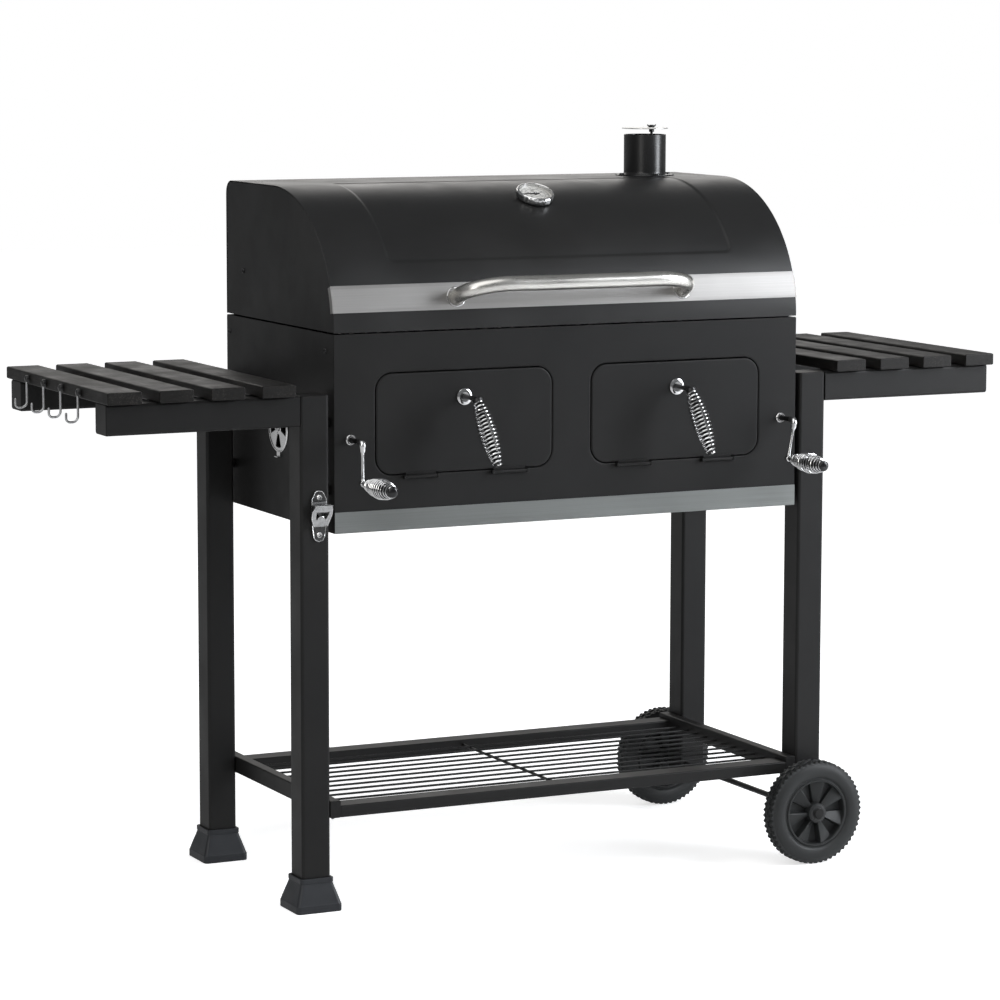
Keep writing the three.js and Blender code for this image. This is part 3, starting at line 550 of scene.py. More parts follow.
def wheel(centre, out):
    """One closed skin run from the bore over both faces and the tread; ribs and blocks vary round it."""
    steps, spokes, blocks = 224, 7, 56
    prof = []  # (radius, height towards the outside, kind)
    for kind, points in (
            ("plain", ((5.3, 21), (8.5, 21), (9.4, 20.2), (9.4, 18.6), (15.2, 18.6), (16.6, 18.2), (17.2, 16.8))),
            ("rib", [(r, 8) for r in (17.6, 19.0, 24, 32, 41, 49, 53.2)]),
            ("plain", ((54.0, 14.6), (55.2, 16.4), (57.4, 16.6), (58.6, 14.6), (60.6, 14.2), (62.6, 16.8),
                       (66, 18.3), (72, 18.9), (78, 18.4), (82.4, 16.6), (84.4, 15.0), (85.2, 14.6))),
            ("shoulder", ((87.6, 13.8), (88.6, 8.6))),
            ("plain", ((87.6, 8.0), (87.6, 5.6))),
            ("tread", ((89.9, 5.2), (90, 0.8))),
            ("plain", ((87.8, 0.3),))):
        prof += [(r, h, kind) for r, h in points]
    mirror = [(r, -h, k) for r, h, k in prof[::-1]]
    rings = []
    for r, h, kind in prof + mirror:
        ring = []
        sgn = 1 if h > 0 else -1
        for k in range(steps):
            a = 2 * pi * k / steps
            q, z = r, abs(h)
            if kind == "rib":
                # a low floor, a steep rise, a blade that slopes away, and a short drop
                f = (spokes * k / steps) % 1.0
                if f < 0.40:
                    z = 1.8
                elif f < 0.44:
                    z = 1.8 + 13.2 * (f - 0.40) / 0.04
                elif f < 0.97:
                    z = 15.0 - 7.2 * ((f - 0.44) / 0.53) ** 1.2
                else:
                    z = 7.8 - 6.0 * (f - 0.97) / 0.03
            if kind == "shoulder":
                raised = k % 4 < 2
                q = r + (1.6 if raised else -0.7)
                if raised and r < 88:
                    z = min(z + 0.6, 14.8)
            if kind == "tread" and (k * blocks // steps + (sgn < 0)) % 2:
                q = r - 2.2
            ring.append(Vector((centre[0] + q * cos(a), centre[1] + out * sgn * z, centre[2] + q * sin(a))))
        rings.append(ring)
    return loft(rings, close=True)


for row, t in ROWS:
    piece(f"wheel_{row}_tyre", wheel((AX, t * WY, AZ), t), f"wheel_{row}", TYRE, [f"wheel_{row}"],
          30)
    piece(f"wheel_{row}_hubcap",
          Geo(lathe([(9.6, 0), (9.6, 1.1), (12, 1.3), (14.6, 0.6), (14.8, -0.4), (9.6, -0.4), (9.6, 0)],
                    (AX, t * (WY + 18.8), AZ), (0, t, 0), 40),
              lathe([(5.5, -12), (11.8, -12), (11.8, 0), (5.5, 0), (5.5, -12)], (AX, t * 242.8, AZ), (0, t, 0),
                    28)),
          f"wheel_{row}", KNOB, ())

# --- firebox
FRONT = -230.0
DOOR_X, DOOR_Z = 196.5, 795.5
CRANK_X, CRANK_Z = 401, 773
VENT_Z = 771
HINGE_X = 300  # lid hinges
DOOR_BARRELS = ((87, 145), (250, 304))  # where each door's two hinge barrels start and end
door_hole = [rr(s * DOOR_X, DOOR_Z, 326.4, 172.4, 31.7, 14) for _, s in SIDES]
crank_hole = [circle(s * CRANK_X, CRANK_Z, 4.3, 20) for _, s in SIDES]
g = sheet_y([rr(0, 782.5, 860, 323, 1.2, 2)] + door_hole + crank_hole, FRONT, FRONT + 1.2, 0.4)
g += block(-427, 427, FRONT + 1.3, FRONT + 14, 942.8, 944, 0.3)
for s in (-1, 1):
    for a, b in DOOR_BARRELS:
        g += tube([(s * (a - 5), -235, 708.5), (s * (b + 5), -235, 708.5)], 1.5, 10)
        for u, v in ((a - 5, a - 0.5), (b + 0.5, b + 5)):
            g += block(s * u, s * v, -238.6, FRONT + 0.2, 704.9, 711.1, 0.7)
piece("firebox_front_sheet", g, "stand", COAT, ["firebox_front_panel"])

# inner returns folded back round each doorway, seen when a door is down
g = Geo()
for s in (-1, 1):
    rings = [on("y", rr(s * DOOR_X, DOOR_Z, 322 + 2 * q, 168 + 2 * q, 29.5 + q, 14), FRONT + d)
             for q, d in ((2.25, 0.02), (1.3, 0.14), (0.5, 0.55), (0.1, 1.2), (0.0, 2.0), (0.0, 9.0), (0.9, 9.0),
                          (0.9, 2.0), (1.3, 1.35), (2.25, 1.1))]
    g += loft(rings, close=True)
piece("doorway_returns", g, "stand", COAT, ())

# the firebox strip in the darker copy of the brushed steel: painted shade
piece("firebox_trim_strip", bar("x", -430, 430, -230.9, 638.5, 1.2, 35, 0.5, 0.3, 3), "stand", TRIM_SHADED,
      ["firebox_trim"])


def wedge(n, r0, r1, half):
    """One of the four vent slots, from radius r0 to r1 and half degrees to each side."""
    a, h = radians(90 * n), radians(half)
    arc = [(r1, a - h + 2 * h * k / 10) for k in range(11)] + [(r0, a + h - 2 * h * k / 6) for k in range(7)]
    return [(r * cos(w), VENT_Z + r * sin(w)) for r, w in arc]


for side, s in SIDES:
    g = sheet_x([rr(0.8, 782.5, 458.4, 323, 1.5, 3)] + [wedge(n, 12, 32, 20) for n in range(4)],
                s * 428.8, s * 430, 0.35)
    g += block(s * 411, s * 428.9, -210, 210, 905, 907, 0.4)
    piece(f"firebox_{side}_sheet", g, "stand", COAT, [f"firebox_{side}_panel"])
    # the disc's rim, counted round from the bottom, where the lifting tab takes its place
    disc = sorted((p for p in circle(0, VENT_Z, 41, 72) if p[1] >= VENT_Z or abs(p[0]) >= 7.2),
                  key=lambda p: math.atan2(p[0], VENT_Z - p[1]) % (2 * pi))
    tab = [(-7, 731), (-7, 724.5), (-5.5, 723), (5.5, 723), (7, 724.5), (7, 731)]
    g = sheet_x([disc + tab] + [wedge(n, 11, 33, 20.5) for n in range(4)] + [circle(0, VENT_Z, 3.4, 20)],
                s * 430.35, s * 431.9, 0.35)
    g += lathe([(37.4, 1.8), (38.2, 2.9), (39.4, 2.9), (40.2, 1.8), (37.4, 1.8)], (s * 430, 0, VENT_Z), (s, 0, 0),
               72)
    g += lathe([(8.8, 1.8), (9.2, 2.4), (10.2, 2.4), (10.6, 1.8), (8.8, 1.8)], (s * 430, 0, VENT_Z), (s, 0, 0), 40)
    g += block(s * 430.35, s * 436.5, -6.6, 6.6, 722, 723.6, 0.3)
    piece(f"vent_disc_{side}", g, f"vent_shutter_{side}", SATIN_CHROME, [f"vent_shutter_{side}"])
    g = Geo(hexnut((s * 432.2, 0, VENT_Z), (s, 0, 0), 6, 3.2),
            tube([(s * 429, 0, VENT_Z), (s * 433, 0, VENT_Z)], 2.9, 16))
    piece(f"vent_stud_{side}", g, "stand", ZINC, ())

# --- cooking grates
for side, s in SIDES:
    g = Geo()
    frame_path = [(s * 12, -214, 910.3), (s * 421, -214, 910.3), (s * 421, 214, 910.3), (s * 12, 214, 910.3)]
    for a, b in zip(frame_path, frame_path[1:] + frame_path[:1]):
        g += tube([a, b], 3, 12, "round")
    for n in range(1, 16):
        x = s * (12 + 409 * n / 16)
        g += tube([(x, -213, 911.4), (x, 213, 911.4)], 2, 10)
    for y in (-95, 95):
        g += tube([(s * 12, y, 907.9), (s * 421, y, 907.9)], 2, 10)
    piece(f"grate_wires_{side}", g, f"cooking_grate_{side}", ENAMEL, [f"cooking_grate_{side}"])

# --- cranks
GRIP = [(0, 8.2), (14, 11.6), (36, 15.6), (56, 17.4), (74, 15.6), (92, 11.2), (98, 9.8)]
for side, s in SIDES:
    lean = radians(10) if s > 0 else 0.0
    cx = s * CRANK_X
    ex, ez = cx - 66 * sin(lean), CRANK_Z - 66 * cos(lean)
    g = tube([(cx, 234, CRANK_Z), (cx, -270, CRANK_Z)], 4, 16, "round")
    down = (Vector((ex, -277, ez)) - Vector((cx, -277, CRANK_Z))).normalized()
    for y in (-150, 150):
        pts = []
        for n in range(12):
            c = 2 * pi * (n + 0.5) / 12
            for r, w in ((16.4, -0.19), (22.8, -0.05), (22.8, 0.05), (16.4, 0.19)):
                pts.append((cx + r * cos(c + w), CRANK_Z + r * sin(c + w)))
        g += sheet_y([pts], y - 5, y + 5, 0.4)
    piece(f"crank_rod_{side}", g, f"crank_{side}", DARK_ROD, [f"crank_{side}"])
    elbow = Vector((cx, -277, CRANK_Z))
    foot = Vector((ex, -277, ez))
    sleeve = bent([elbow + Vector((0, 12, 0)), elbow, elbow + down * 15], 6.5, 8)
    g = tube(sleeve, [5.4] + [5.7] * (len(sleeve) - 3) + [5.5, 4.4], 18)
    arm = [elbow + down * k for k in (11, 15, 22, 40, 56, 61)]
    g += tube(arm, [3.6, 3.1, 2.75, 2.75, 2.9, 3.9], 14)
    g += lathe([(0, -4.6), (4.4, -4.6), (5.0, -4.0), (5.0, 3.6), (4.4, 4.2), (0, 4.2)], foot, (0, -1, 0), 20)
    g += lathe([(0, 4.4), (3.6, 4.4), (3.6, 6.0), (2.6, 7.2), (0, 7.4)], foot, (0, 1, 0), 16)
    g += tube([foot, (ex, -386, ez)], 3.6, 14)
    piece(f"crank_arm_{side}", g, f"crank_{side}", CHROME, ())
    g = Geo(lathe([(4.1, 0), (8.6, 0), (8.6, 0.8), (8.0, 1.4), (4.1, 1.4), (4.1, 0)], (cx, FRONT - 0.2, CRANK_Z),
                  (0, -1, 0), 28))
    g += lathe([(4.1, 1.4), (6.6, 1.4), (7.0, 2.2), (7.0, 4.8), (6.4, 5.8), (5.4, 5.8), (5.0, 4.6), (4.1, 4.0),
                (4.1, 1.4)],
               (cx, FRONT - 0.2, CRANK_Z), (0, -1, 0), 28)
    piece(f"crank_bush_{side}", g, f"crank_{side}", CHROME, ())
    top = (ex, -296, ez)
    piece(f"crank_coil_{side}", coil(top, (0, -1, 0), GRIP, 15.5, 1.15, s * 0.8, 22), f"crank_grip_{side}", CHROME,
          [f"crank_grip_{side}"])
    # a dull near-black sleeve round the arm inside the coil: painted shade between the turns
    g = lathe([(4.4, -1), (6.5, -1), (6.5, 5), (5.6, 6), (5.6, 90), (4.4, 90), (4.4, -1)], top, (0, -1, 0), 20)
    piece(f"crank_shade_core_{side}", g, f"crank_grip_{side}", DARK_SHADE_CORE, ())
    g = lathe([(0, 92), (8.6, 92), (9.3, 93.5), (9.3, 97), (8.8, 99.2), (7.2, 101), (4.6, 101.8), (0, 102)], top,
              (0, -1, 0), 28)
    piece(f"crank_cap_{side}", g, f"crank_grip_{side}", GLOSS, ())

# --- doors and coil handles
COIL = [(0, 8.0), (7, 10.4), (20, 13.6), (36, 15.6), (52, 16.4), (66, 16.0), (80, 14.4), (94, 12.0), (106, 9.2),
        (112, 8.0)]
LEAN = Vector((0.13, -0.4, -0.9)).normalized()
for side, s in SIDES:
    def rim(inset, y):
        return on("y", rr(s * DOOR_X, DOOR_Z, 319 - 2 * inset, 165 - 2 * inset, 28 - inset, 14), y)
    g = loft([rim(2.1, -229.2), rim(2.1, -224), rim(1.0, -224), rim(0.1, -228.6), rim(0.0, -229.2),
              rim(0.25, -229.9), rim(0.9, -230.5), rim(1.9, -230.9), rim(3.0, -231.0)])
    for a, b in DOOR_BARRELS:
        g += Geo(block(s * a, s * b, -231.9, -230.3, 709, 715.5, 0.5),
                 block(s * a, s * b, -234.6, -230.5, 709.3, 711.2, 0.4))
        g += tube([(s * a, -235, 708.5), (s * b, -235, 708.5)], 3.1, 18)
    piece(f"door_skin_{side}", g, f"door_{side}", COAT, [f"door_{side}"])
    hx, hz = s * 198, 835
    body = f"door_handle_{side}"
    piece(f"door_rosette_{side}",
          Geo(lathe([(4.2, 0), (13.6, 0), (14, 0.5), (13.6, 1.6), (11.4, 2.9), (8.6, 3.1), (7.6, 2.2), (4.2, 2.0),
                     (4.2, 0)],
                    (hx, -231.3, hz), (0, -1, 0), 40),
              lathe([(0, 0), (9, 0), (9, 2.6), (0, 2.6)], (hx, -228.6, hz), (0, 1, 0), 24)),
          body, CHROME, ())
    start = Vector((hx + 1, -279, hz - 2))
    stem = bent([(hx, -220, hz), (hx, -279, hz), start + LEAN * 113], 7, 8)
    g = Geo(tube(stem, 4, 14), block(hx - 6, hx + 6, -225, -222, hz - 7, hz + 14, 0.8))
    g += lathe([(0, -3.2), (7.2, -3.2), (8.4, -2.0), (8.4, 2.0), (7.6, 3.4), (0, 3.4)], start, LEAN, 24)
    piece(f"door_stem_{side}", g, body, KNOB, ())
    piece(f"door_coil_{side}", coil(start + LEAN * 1.6, LEAN, COIL, 17.5, 1.75, 0.4, 22), body, CHROME,
          [f"door_handle_{side}"])
    # a dull near-black sleeve round the stem inside the coil: painted shade between the turns
    g = lathe([(4.1, 4), (5.4, 4), (5.4, 112), (4.1, 112), (4.1, 4)], start, LEAN, 20)
    piece(f"door_shade_core_{side}", g, body, DARK_SHADE_CORE, ())
    g = lathe([(0, 107), (6.0, 107), (6.6, 108), (6.6, 112.5), (5.4, 114.6), (0, 115)], start, LEAN, 24)
    piece(f"door_endcap_{side}", g, body, KNOB, ())

# --- side tables
for side, s in SIDES:
    for row, t in ROWS:
        x0, x1 = s * 489.3, s * 819.3
        a, b = (x0, x1) if s > 0 else (x1, x0)
        y, z = t * LEG_Y, 823.0
        # open inner end beside the leg, closed and eased outer end
        sec = [(x0 + s * 30, 46.6, 3.4), (x0 + s * 0.3, 46.6, 3.4), (x0, 48.8, 4.5), (x0 + s * 0.6, 50, 5),
               (x1 - s * 2.2, 50, 5), (x1 - s * 0.8, 49.1, 4.6), (x1 - s * 0.1, 47.2, 3.8), (x1, 45.8, 3.2)]
        piece(f"table_{side}_arm_{row}_tube", loft([on("x", rr(y, z, w, w, r), x) for x, w, r in sec]), "stand",
              COAT_FRAME, [f"table_{side}_arm_{row}"])
    for n in range(4):
        x = s * (822 - 29 - 87 * n)
        g = bar("y", -246, 246, x, 858.3, 58, 20, 2.8, 1.8, 6)
        node = f"table_{side}_slat_{n + 1}"
        piece(f"{node}_board", g, "stand", slat_wood(f"stained_slat_{side}_{n + 1}", n + 1 + (5 if s > 0 else 0)),
              [node])

# --- tool hooks
for n, y in enumerate((129, 46, -37, -120), 1):
    out = -826.3
    path = bent([(out, y, 858), (out, y, 811), (out - 20, y, 811), (out - 20, y, 825)], 9.6, 10)
    g = Geo(tube(path, 2, 12, "round"))
    piece(f"tool_hook_{n}_wire", g, "stand", ZINC, [f"tool_hook_{n}"])
    piece(f"tool_hook_{n}_knob", lathe([(0, 0), (5.6, 0), (6.0, 0.8), (6.0, 4.6), (5.2, 6.4), (3.2, 7.3), (0, 7.5)],
                                       (-822.2, y, 858), (-1, 0, 0), 24), "stand", KNOB, ())

# --- bottle opener
ox, oy = -458.0, -230.4
half = [(7.5, 690), (12.4, 680), (12.4, 676), (12.4, 640), (11, 628), (9.5, 618), (6, 613)]
strap = ([(ox - 7.5, 690), (ox - 5, 692.4), (ox, 693.4), (ox + 5, 692.4)] + [(ox + a, b) for a, b in half]
         + [(ox, 611.2)] + [(ox - a, b) for a, b in half[:0:-1]])
# the strap's face in the darkened steel: painted shade
piece("bottle_opener_strap", sheet_y([strap[::-1]], oy - 2, oy, 0.5), "stand", STAMPED_SHADED, ["bottle_opener"])
# bright chrome beads along the strap's edges, brighter than the stamped steel itself: painted edge highlights
highlight_rims = tube([(a, oy - 1.7, b) for a, b in strap + strap[:2]], 0.85, 8)
# hood: a shelf bent out from the strap, then a face that slopes back down to it, with the toothed mouth in it
g = Geo(block(ox - 14, ox + 17, oy - 19.5, oy - 0.5, 668.4, 671.0, 0.7),
        block(ox - 12, ox + 12, oy - 4.5, oy - 0.5, 670, 676, 0.8))
up = Vector((0, -10.5, 31.5)).normalized()
face_o = Vector((ox, oy - 7.2, 637))
span = 33.2
outline = [(-12, 0), (12, 0), (17.2, 20), (17.2, 30), (15.8, span), (-13.4, span), (-17.2, 26), (-17.2, 14)]
mouth = [(-10.5, 11.5)] + [(5.8 * cos(radians(180 - 18 * k)) - 0.6,
                            11.5 + 6.2 * sin(radians(180 - 18 * k))) for k in range(11)] \
    + [(9.0, 13.5), (12.5, 24.5), (-10.5, 24.5)]
g += plate([outline, mouth[::-1]], face_o, (1, 0, 0), up, -1.1, 1.1, 0.45)
face_n = Vector((1, 0, 0)).cross(up)
# chrome beads along the face's outline and mouth: painted edge highlights
for loop, q in ((outline, 0.8), (mouth, 0.6)):
    highlight_rims += tube([face_o + Vector((a, 0, 0)) + up * b + face_n * 0.9 for a, b in loop + loop[:2]], q, 8)
# and along the hood shelf's front edges: more painted edge highlights
highlight_rims += Geo(tube([(ox - 14, oy - 19.2, 670.6), (ox + 17, oy - 19.2, 670.6)], 1.0, 8),
            tube([(ox - 14, oy - 9, 671.0), (ox + 17, oy - 9, 671.0)], 0.7, 8))
cheek = [(oy - 1, 640), (oy - 6.5, 637.5), (oy - 15.5, 664), (oy - 18.8, 669), (oy - 1, 669)]
for k in (-1, 1):
    g += sheet_x([cheek], ox + k * 13.2 - 1, ox + k * 13.2 + 1)
piece("bottle_opener_hood", g, "stand", HOOD_STEEL, ())
piece("bottle_opener_rims", highlight_rims, "stand", CHROME, ())

# --- lid
A, B2, TOP, LOWZ = 252.0, 227.5, 1174.0, 946.5


def lid_table():
    """Dense walk along the lid's section: arc length, point and outward normal."""
    pts = []
    for k in range(901):
        t = pi / 2 * (1 - k / 900)
        n = Vector((0, -sin(t) / A, cos(t) / B2)).normalized()
        pts.append((Vector((0, 22 - A * sin(t), LOWZ + B2 * cos(t))), n))
    for k in range(1, 161):
        pts.append((Vector((0, 22 + 186 * k / 160, TOP)), Vector((0, 0, 1))))
    for k in range(1, 31):
        t = pi / 2 * k / 30
        n = Vector((0, sin(t), cos(t)))
        pts.append((Vector((0, 208, 1152)) + n * 22, n))
    for k in range(1, 101):
        pts.append((Vector((0, 230, 1152 - 205.5 * k / 100)), Vector((0, 1, 0))))
    out, s = [], 0.0
    for i, (p, n) in enumerate(pts):
        if i:
            s += (p - pts[i - 1][0]).length
        out.append((s, p, n))
    return out


TABLE = lid_table()


def lid_at(s):
    lo, hi = 0, len(TABLE) - 1
    while hi - lo > 1:
        mid = (lo + hi) // 2
        lo, hi = (mid, hi) if TABLE[mid][0] <= s else (lo, mid)
    (a, p, n), (b, q, m) = TABLE[lo], TABLE[hi]
    t = (s - a) / (b - a) if b > a else 0
    return p.lerp(q, t), n.lerp(m, t).normalized()


def arc_of(test):
    return next(s for s, p, n in TABLE if test(p))


S_END = TABLE[-1][0]
S0 = arc_of(lambda p: p.z > 1057)  # lower edge of the pressed field
S1 = arc_of(lambda p: p.y > 35)  # its upper edge, on the crown
XF = 319.0


def field_depth(x, s):
    """The lid's pressed-in rectangular field, 1.3 mm deep with rounded corners and soft edges."""
    r = 12.0
    hx, hs, cs = XF - r, (S1 - S0) / 2 - r, (S0 + S1) / 2
    qx, qs = abs(x) - hx, abs(s - cs) - hs
    d = math.hypot(max(qx, 0), max(qs, 0)) + min(max(qx, qs), 0) - r
    t = min(1.0, max(0.0, (2.8 - d) / 5.6))
    return 1.3 * t * t * (3 - 2 * t)


def lid_shell():
    """Outer and inner skin on one grid, finer along the edges of the field."""
    xs = [-430, -429.2, -400, -365, -340]
    xs += [-330 + 2.0 * k for k in range(19)] + [-285 + 19 * k for k in range(16)]
    xs = sorted(set(round(q, 2) for q in xs if q < 0) | {0.0})
    xs = xs + [-q for q in xs[:-1][::-1]]
    ss = [0.0, 0.8] + [7 + 6.5 * k for k in range(200) if 7 + 6.5 * k < S_END - 2]
    ss = [s for s in ss if not (S0 - 8 < s < S0 + 22 or S1 - 22 < s < S1 + 8)]
    ss += [S0 - 7 + 1.9 * k for k in range(15)] + [S1 - 21 + 1.9 * k for k in range(15)] + [S_END]
    ss = sorted(ss)
    g = Geo()
    nx, ns = len(xs), len(ss)
    outer, inner = [], []
    for x in xs:
        ends = 0.35 if abs(x) >= 430 else 0.0
        for s in ss:
            p, n = lid_at(s)
            q = p - n * (field_depth(x, s) + ends)
            outer.append(q + Vector((x, 0, 0)))
            inner.append(q - n * (1.2 - 2 * ends) + Vector((x, 0, 0)))
    m = nx * ns  # where the inner skin starts
    faces = []
    for i in range(nx - 1):
        for j in range(ns - 1):
            a, b, c, d = i * ns + j, (i + 1) * ns + j, (i + 1) * ns + j + 1, i * ns + j + 1
            faces += [[a, b, c, d], [m + a, m + d, m + c, m + b]]
    for i in range(nx - 1):
        for j in (0, ns - 1):
            a, b = i * ns + j, (i + 1) * ns + j
            faces.append([a, m + a, m + b, b] if j == 0 else [a, b, m + b, m + a])
    for j in range(ns - 1):
        for i in (0, nx - 1):
            a, b = i * ns + j, i * ns + j + 1
            faces.append([a, b, m + b, m + a] if i == 0 else [a, m + a, m + b, b])
    return g.add(outer + inner, faces)


g = lid_shell()
for s in (-1, 1):
    u, v = s * HINGE_X - 30, s * HINGE_X + 30
    g += Geo(block(u, v, 230.1, 231.9, 949, 987, 0.4),
             tube([(s * HINGE_X - 14, 238, 945), (s * HINGE_X + 14, 238, 945)], 4.5, 20),
             block(s * HINGE_X - 14, s * HINGE_X + 14, 231, 238, 946.8, 949.5, 0.4))
    for k in (-20, 20):
        g += screw((s * HINGE_X + k, 231.8, 974), (0, 1, 0), 4.2, 2.2)
piece("lid_skin", g, "lid", COAT_LID, ["lid_shell"])

for side, s in SIDES:
    g = Geo()
    u, v = s * HINGE_X - 30, s * HINGE_X + 30
    g += Geo(block(u, v, 230.4, 232.2, 903, 943.6, 0.4),
             tube([(u - 2, 238, 945), (v + 2, 238, 945)], 2, 14, "round"))
    for p, q in ((u, s * HINGE_X - 14.5), (s * HINGE_X + 14.5, v)):
        g += Geo(tube([(p, 238, 945), (q, 238, 945)], 4.5, 20), block(p, q, 231, 238, 940.6, 943.4, 0.4))
    for k in (-20, 20):
        g += screw((s * HINGE_X + k, 232.1, 916), (0, 1, 0), 4.2, 2.2)
    piece(f"hinge_leaf_{side}", g, "stand", COAT, [f"lid_hinge_{side}"])

for side, s in SIDES:
    prof = []
    for k in range(97):
        p, n = lid_at(S_END * k / 96)
        q = p - n * 2.1
        prof.append((q.y, max(q.z, LOWZ + 0.2)))
    g = sheet_x([prof[::-1]], s * 427.9, s * 429.3, 0.35)
    piece(f"lid_end_{side}", g, "lid", COAT, [f"lid_{side}_end"])

# stainless band, with its ends folded round the lid's ends
low_s, high_s = arc_of(lambda p: p.z > 978), arc_of(lambda p: p.z > 1021)


def band_at(f):
    return lid_at(low_s + (high_s - low_s) * f)


rings = []
for x, grow in ((-430, 0.3), (-429.7, 0), (429.7, 0), (430, 0.3)):
    ring = []
    for k in range(13):
        p, n = band_at(k / 12)
        trim = 0.35 if k in (0, 12) else 0
        ring.append(p + n * (1.5 - grow - trim) + Vector((x, 0, 0)))
    for k in range(12, -1, -1):
        p, n = band_at(k / 12)
        ring.append(p + n * (0.3 + grow) + Vector((x, 0, 0)))
    rings.append(ring)
g = loft(rings)
for s in (-1, 1):
    fold = []
    for k in range(7):
        p, n = lid_at(low_s + 0.4 + (high_s - low_s - 0.8) * k / 6)
        fold.append(((p + n * 1.4).y, (p + n * 1.4).z))
    for k in range(6, -1, -1):
        p, n = lid_at(low_s + 0.4 + (high_s - low_s - 0.8) * k / 6)
        fold.append(((p - n * 9).y, (p - n * 9).z))
    g += sheet_x([fold], s * 430.05, s * 431.0, 0.25)
piece("lid_band", g, "lid", TRIM, ["lid_trim"])

# bow handle
n = lid_at(arc_of(lambda q: q.y > -222))[1]
pts = [(-210, -217, 994), (-210, -238, 1003), (-197, -262, 1013), (-158, -276, 1020.5), (-80, -279, 1021)]
pts += [(-a, b, c) for a, b, c in pts[::-1]]
piece("lid_bow", tube(smooth(pts, 12), 12.5, 28), "lid", TUBE_STEEL, ["lid_handle"])
g = Geo()
for s in (-1, 1):
    g += lathe([(13.6, -4), (17.2, -4), (17.6, -3), (17.6, -0.6), (17.3, 1.0), (16.6, 2.3), (15.6, 2.8),
                (14.6, 2.4), (13.9, 1.3), (13.6, 0.0), (13.6, -4)], (s * 210, -222.6, 998), n, 44)
piece("lid_bow_rosettes", g, "lid", RING_STEEL, ())
g = Geo()
for s in (-1, 1):
    g += lathe([(0, -3.5), (14.4, -3.5), (14.4, -1.8), (0, -1.8)], (s * 210, -222.6, 998), n, 32)
piece("lid_bow_wells", g, "lid", GLOSS, ())

# thermometer
g0, gn = lid_at(arc_of(lambda q: q.y > -90))
g = lathe([(0, -40), (2.6, -39), (4, -34), (4, -1.2), (30, -1.2), (31, -0.6), (32.4, 1.2), (33, 3.0), (33, 8.4),
           (32.6, 9.6), (31.6, 10.9), (30.2, 11.9), (29.4, 12.0), (28.8, 11.4), (28.6, 5.2), (0, 5.2)], g0, gn, 120,
          lambda i, a: (-0.75 * abs(cos(10 * a)) ** 3 if i in (6, 7, 8, 9) else 0.0))
piece("thermometer_bezel", g, "lid", CHROME, ["thermometer_case"])
g = lathe([(0, 5.25), (28.4, 5.25), (28.4, 6.2), (26.6, 6.3), (26.4, 5.9), (0, 5.9)], g0, gn, 72)
piece("thermometer_dial", g, "lid", DIAL, ())
DIAL_START, DIAL_SWEEP = 220, 260  # degrees
gu = Vector((1, 0, 0))
gv = gn.cross(gu)
g = Geo()
for k in range(41):
    a = radians(DIAL_START - DIAL_SWEEP * k / 40)
    long = k % 5 == 0
    r0, r1, w = (19.6 if long else 22.2), 24.8, (0.42 if long else 0.22)
    d, e = gu * cos(a) + gv * sin(a), gu * -sin(a) + gv * cos(a)
    base = [g0 + d * r + e * q for r, q in ((r0, -w), (r1, -w), (r1, w), (r0, w))]
    g.add([b + gn * h for h in (5.85, 6.05) for b in base],
          [[0, 1, 2, 3], [4, 7, 6, 5], [0, 4, 5, 1], [1, 5, 6, 2], [2, 6, 7, 3], [3, 7, 4, 0]])
for r in (17.6, 9.0):
    g += lathe([(r - 0.22, 5.85), (r + 0.22, 5.85), (r + 0.22, 6.05), (r - 0.22, 6.05), (r - 0.22, 5.85)], g0, gn,
               60)
piece("thermometer_marks", g, "lid", INK, ())
for k in range(0, 9, 2):
    a = radians(DIAL_START - DIAL_SWEEP * k / 8)
    cu = bpy.data.curves.new(f"num{k}", "FONT")
    cu.body, cu.size, cu.extrude = str(50 + 25 * k), 4.4, 0.08
    cu.align_x, cu.align_y = "CENTER", "CENTER"
    c = g0 + (gu * cos(a) + gv * sin(a)) * 13.4 + gn * 5.98
    num = from_curve(cu, lambda q: c + gu * q.x + gv * q.y + gn * q.z)
    piece(f"thermometer_number_{k // 2 + 1}", num, "lid", INK, ())
# tapered pointer with a short tail
d = -gu
e = gn.cross(d)
g = Geo()
for blade in (((-7, -1.3), (-7, 1.3), (-2.2, 1.4), (-2.2, -1.4)),
              ((2.2, 1.4), (22, 0.35), (24, 0.0), (22, -0.35), (2.2, -1.4))):
    ring = [g0 + d * r + e * q for r, q in blade]
    g += loft([[q + gn * h for q in ring] for h in (6.5, 7.3)])
g += lathe([(1.7, 6.3), (3.4, 6.3), (3.4, 7.7), (2.4, 8.3), (1.7, 8.3), (1.7, 6.3)], g0, gn, 28)
piece("thermometer_pointer", g, "thermometer_needle", INK, ["thermometer_needle"])
piece("thermometer_post", lathe([(0, 5.5), (1.4, 5.5), (1.4, 8.2), (0.8, 8.8), (0, 8.8)], g0, gn, 16), "lid",
      CHROME, ())

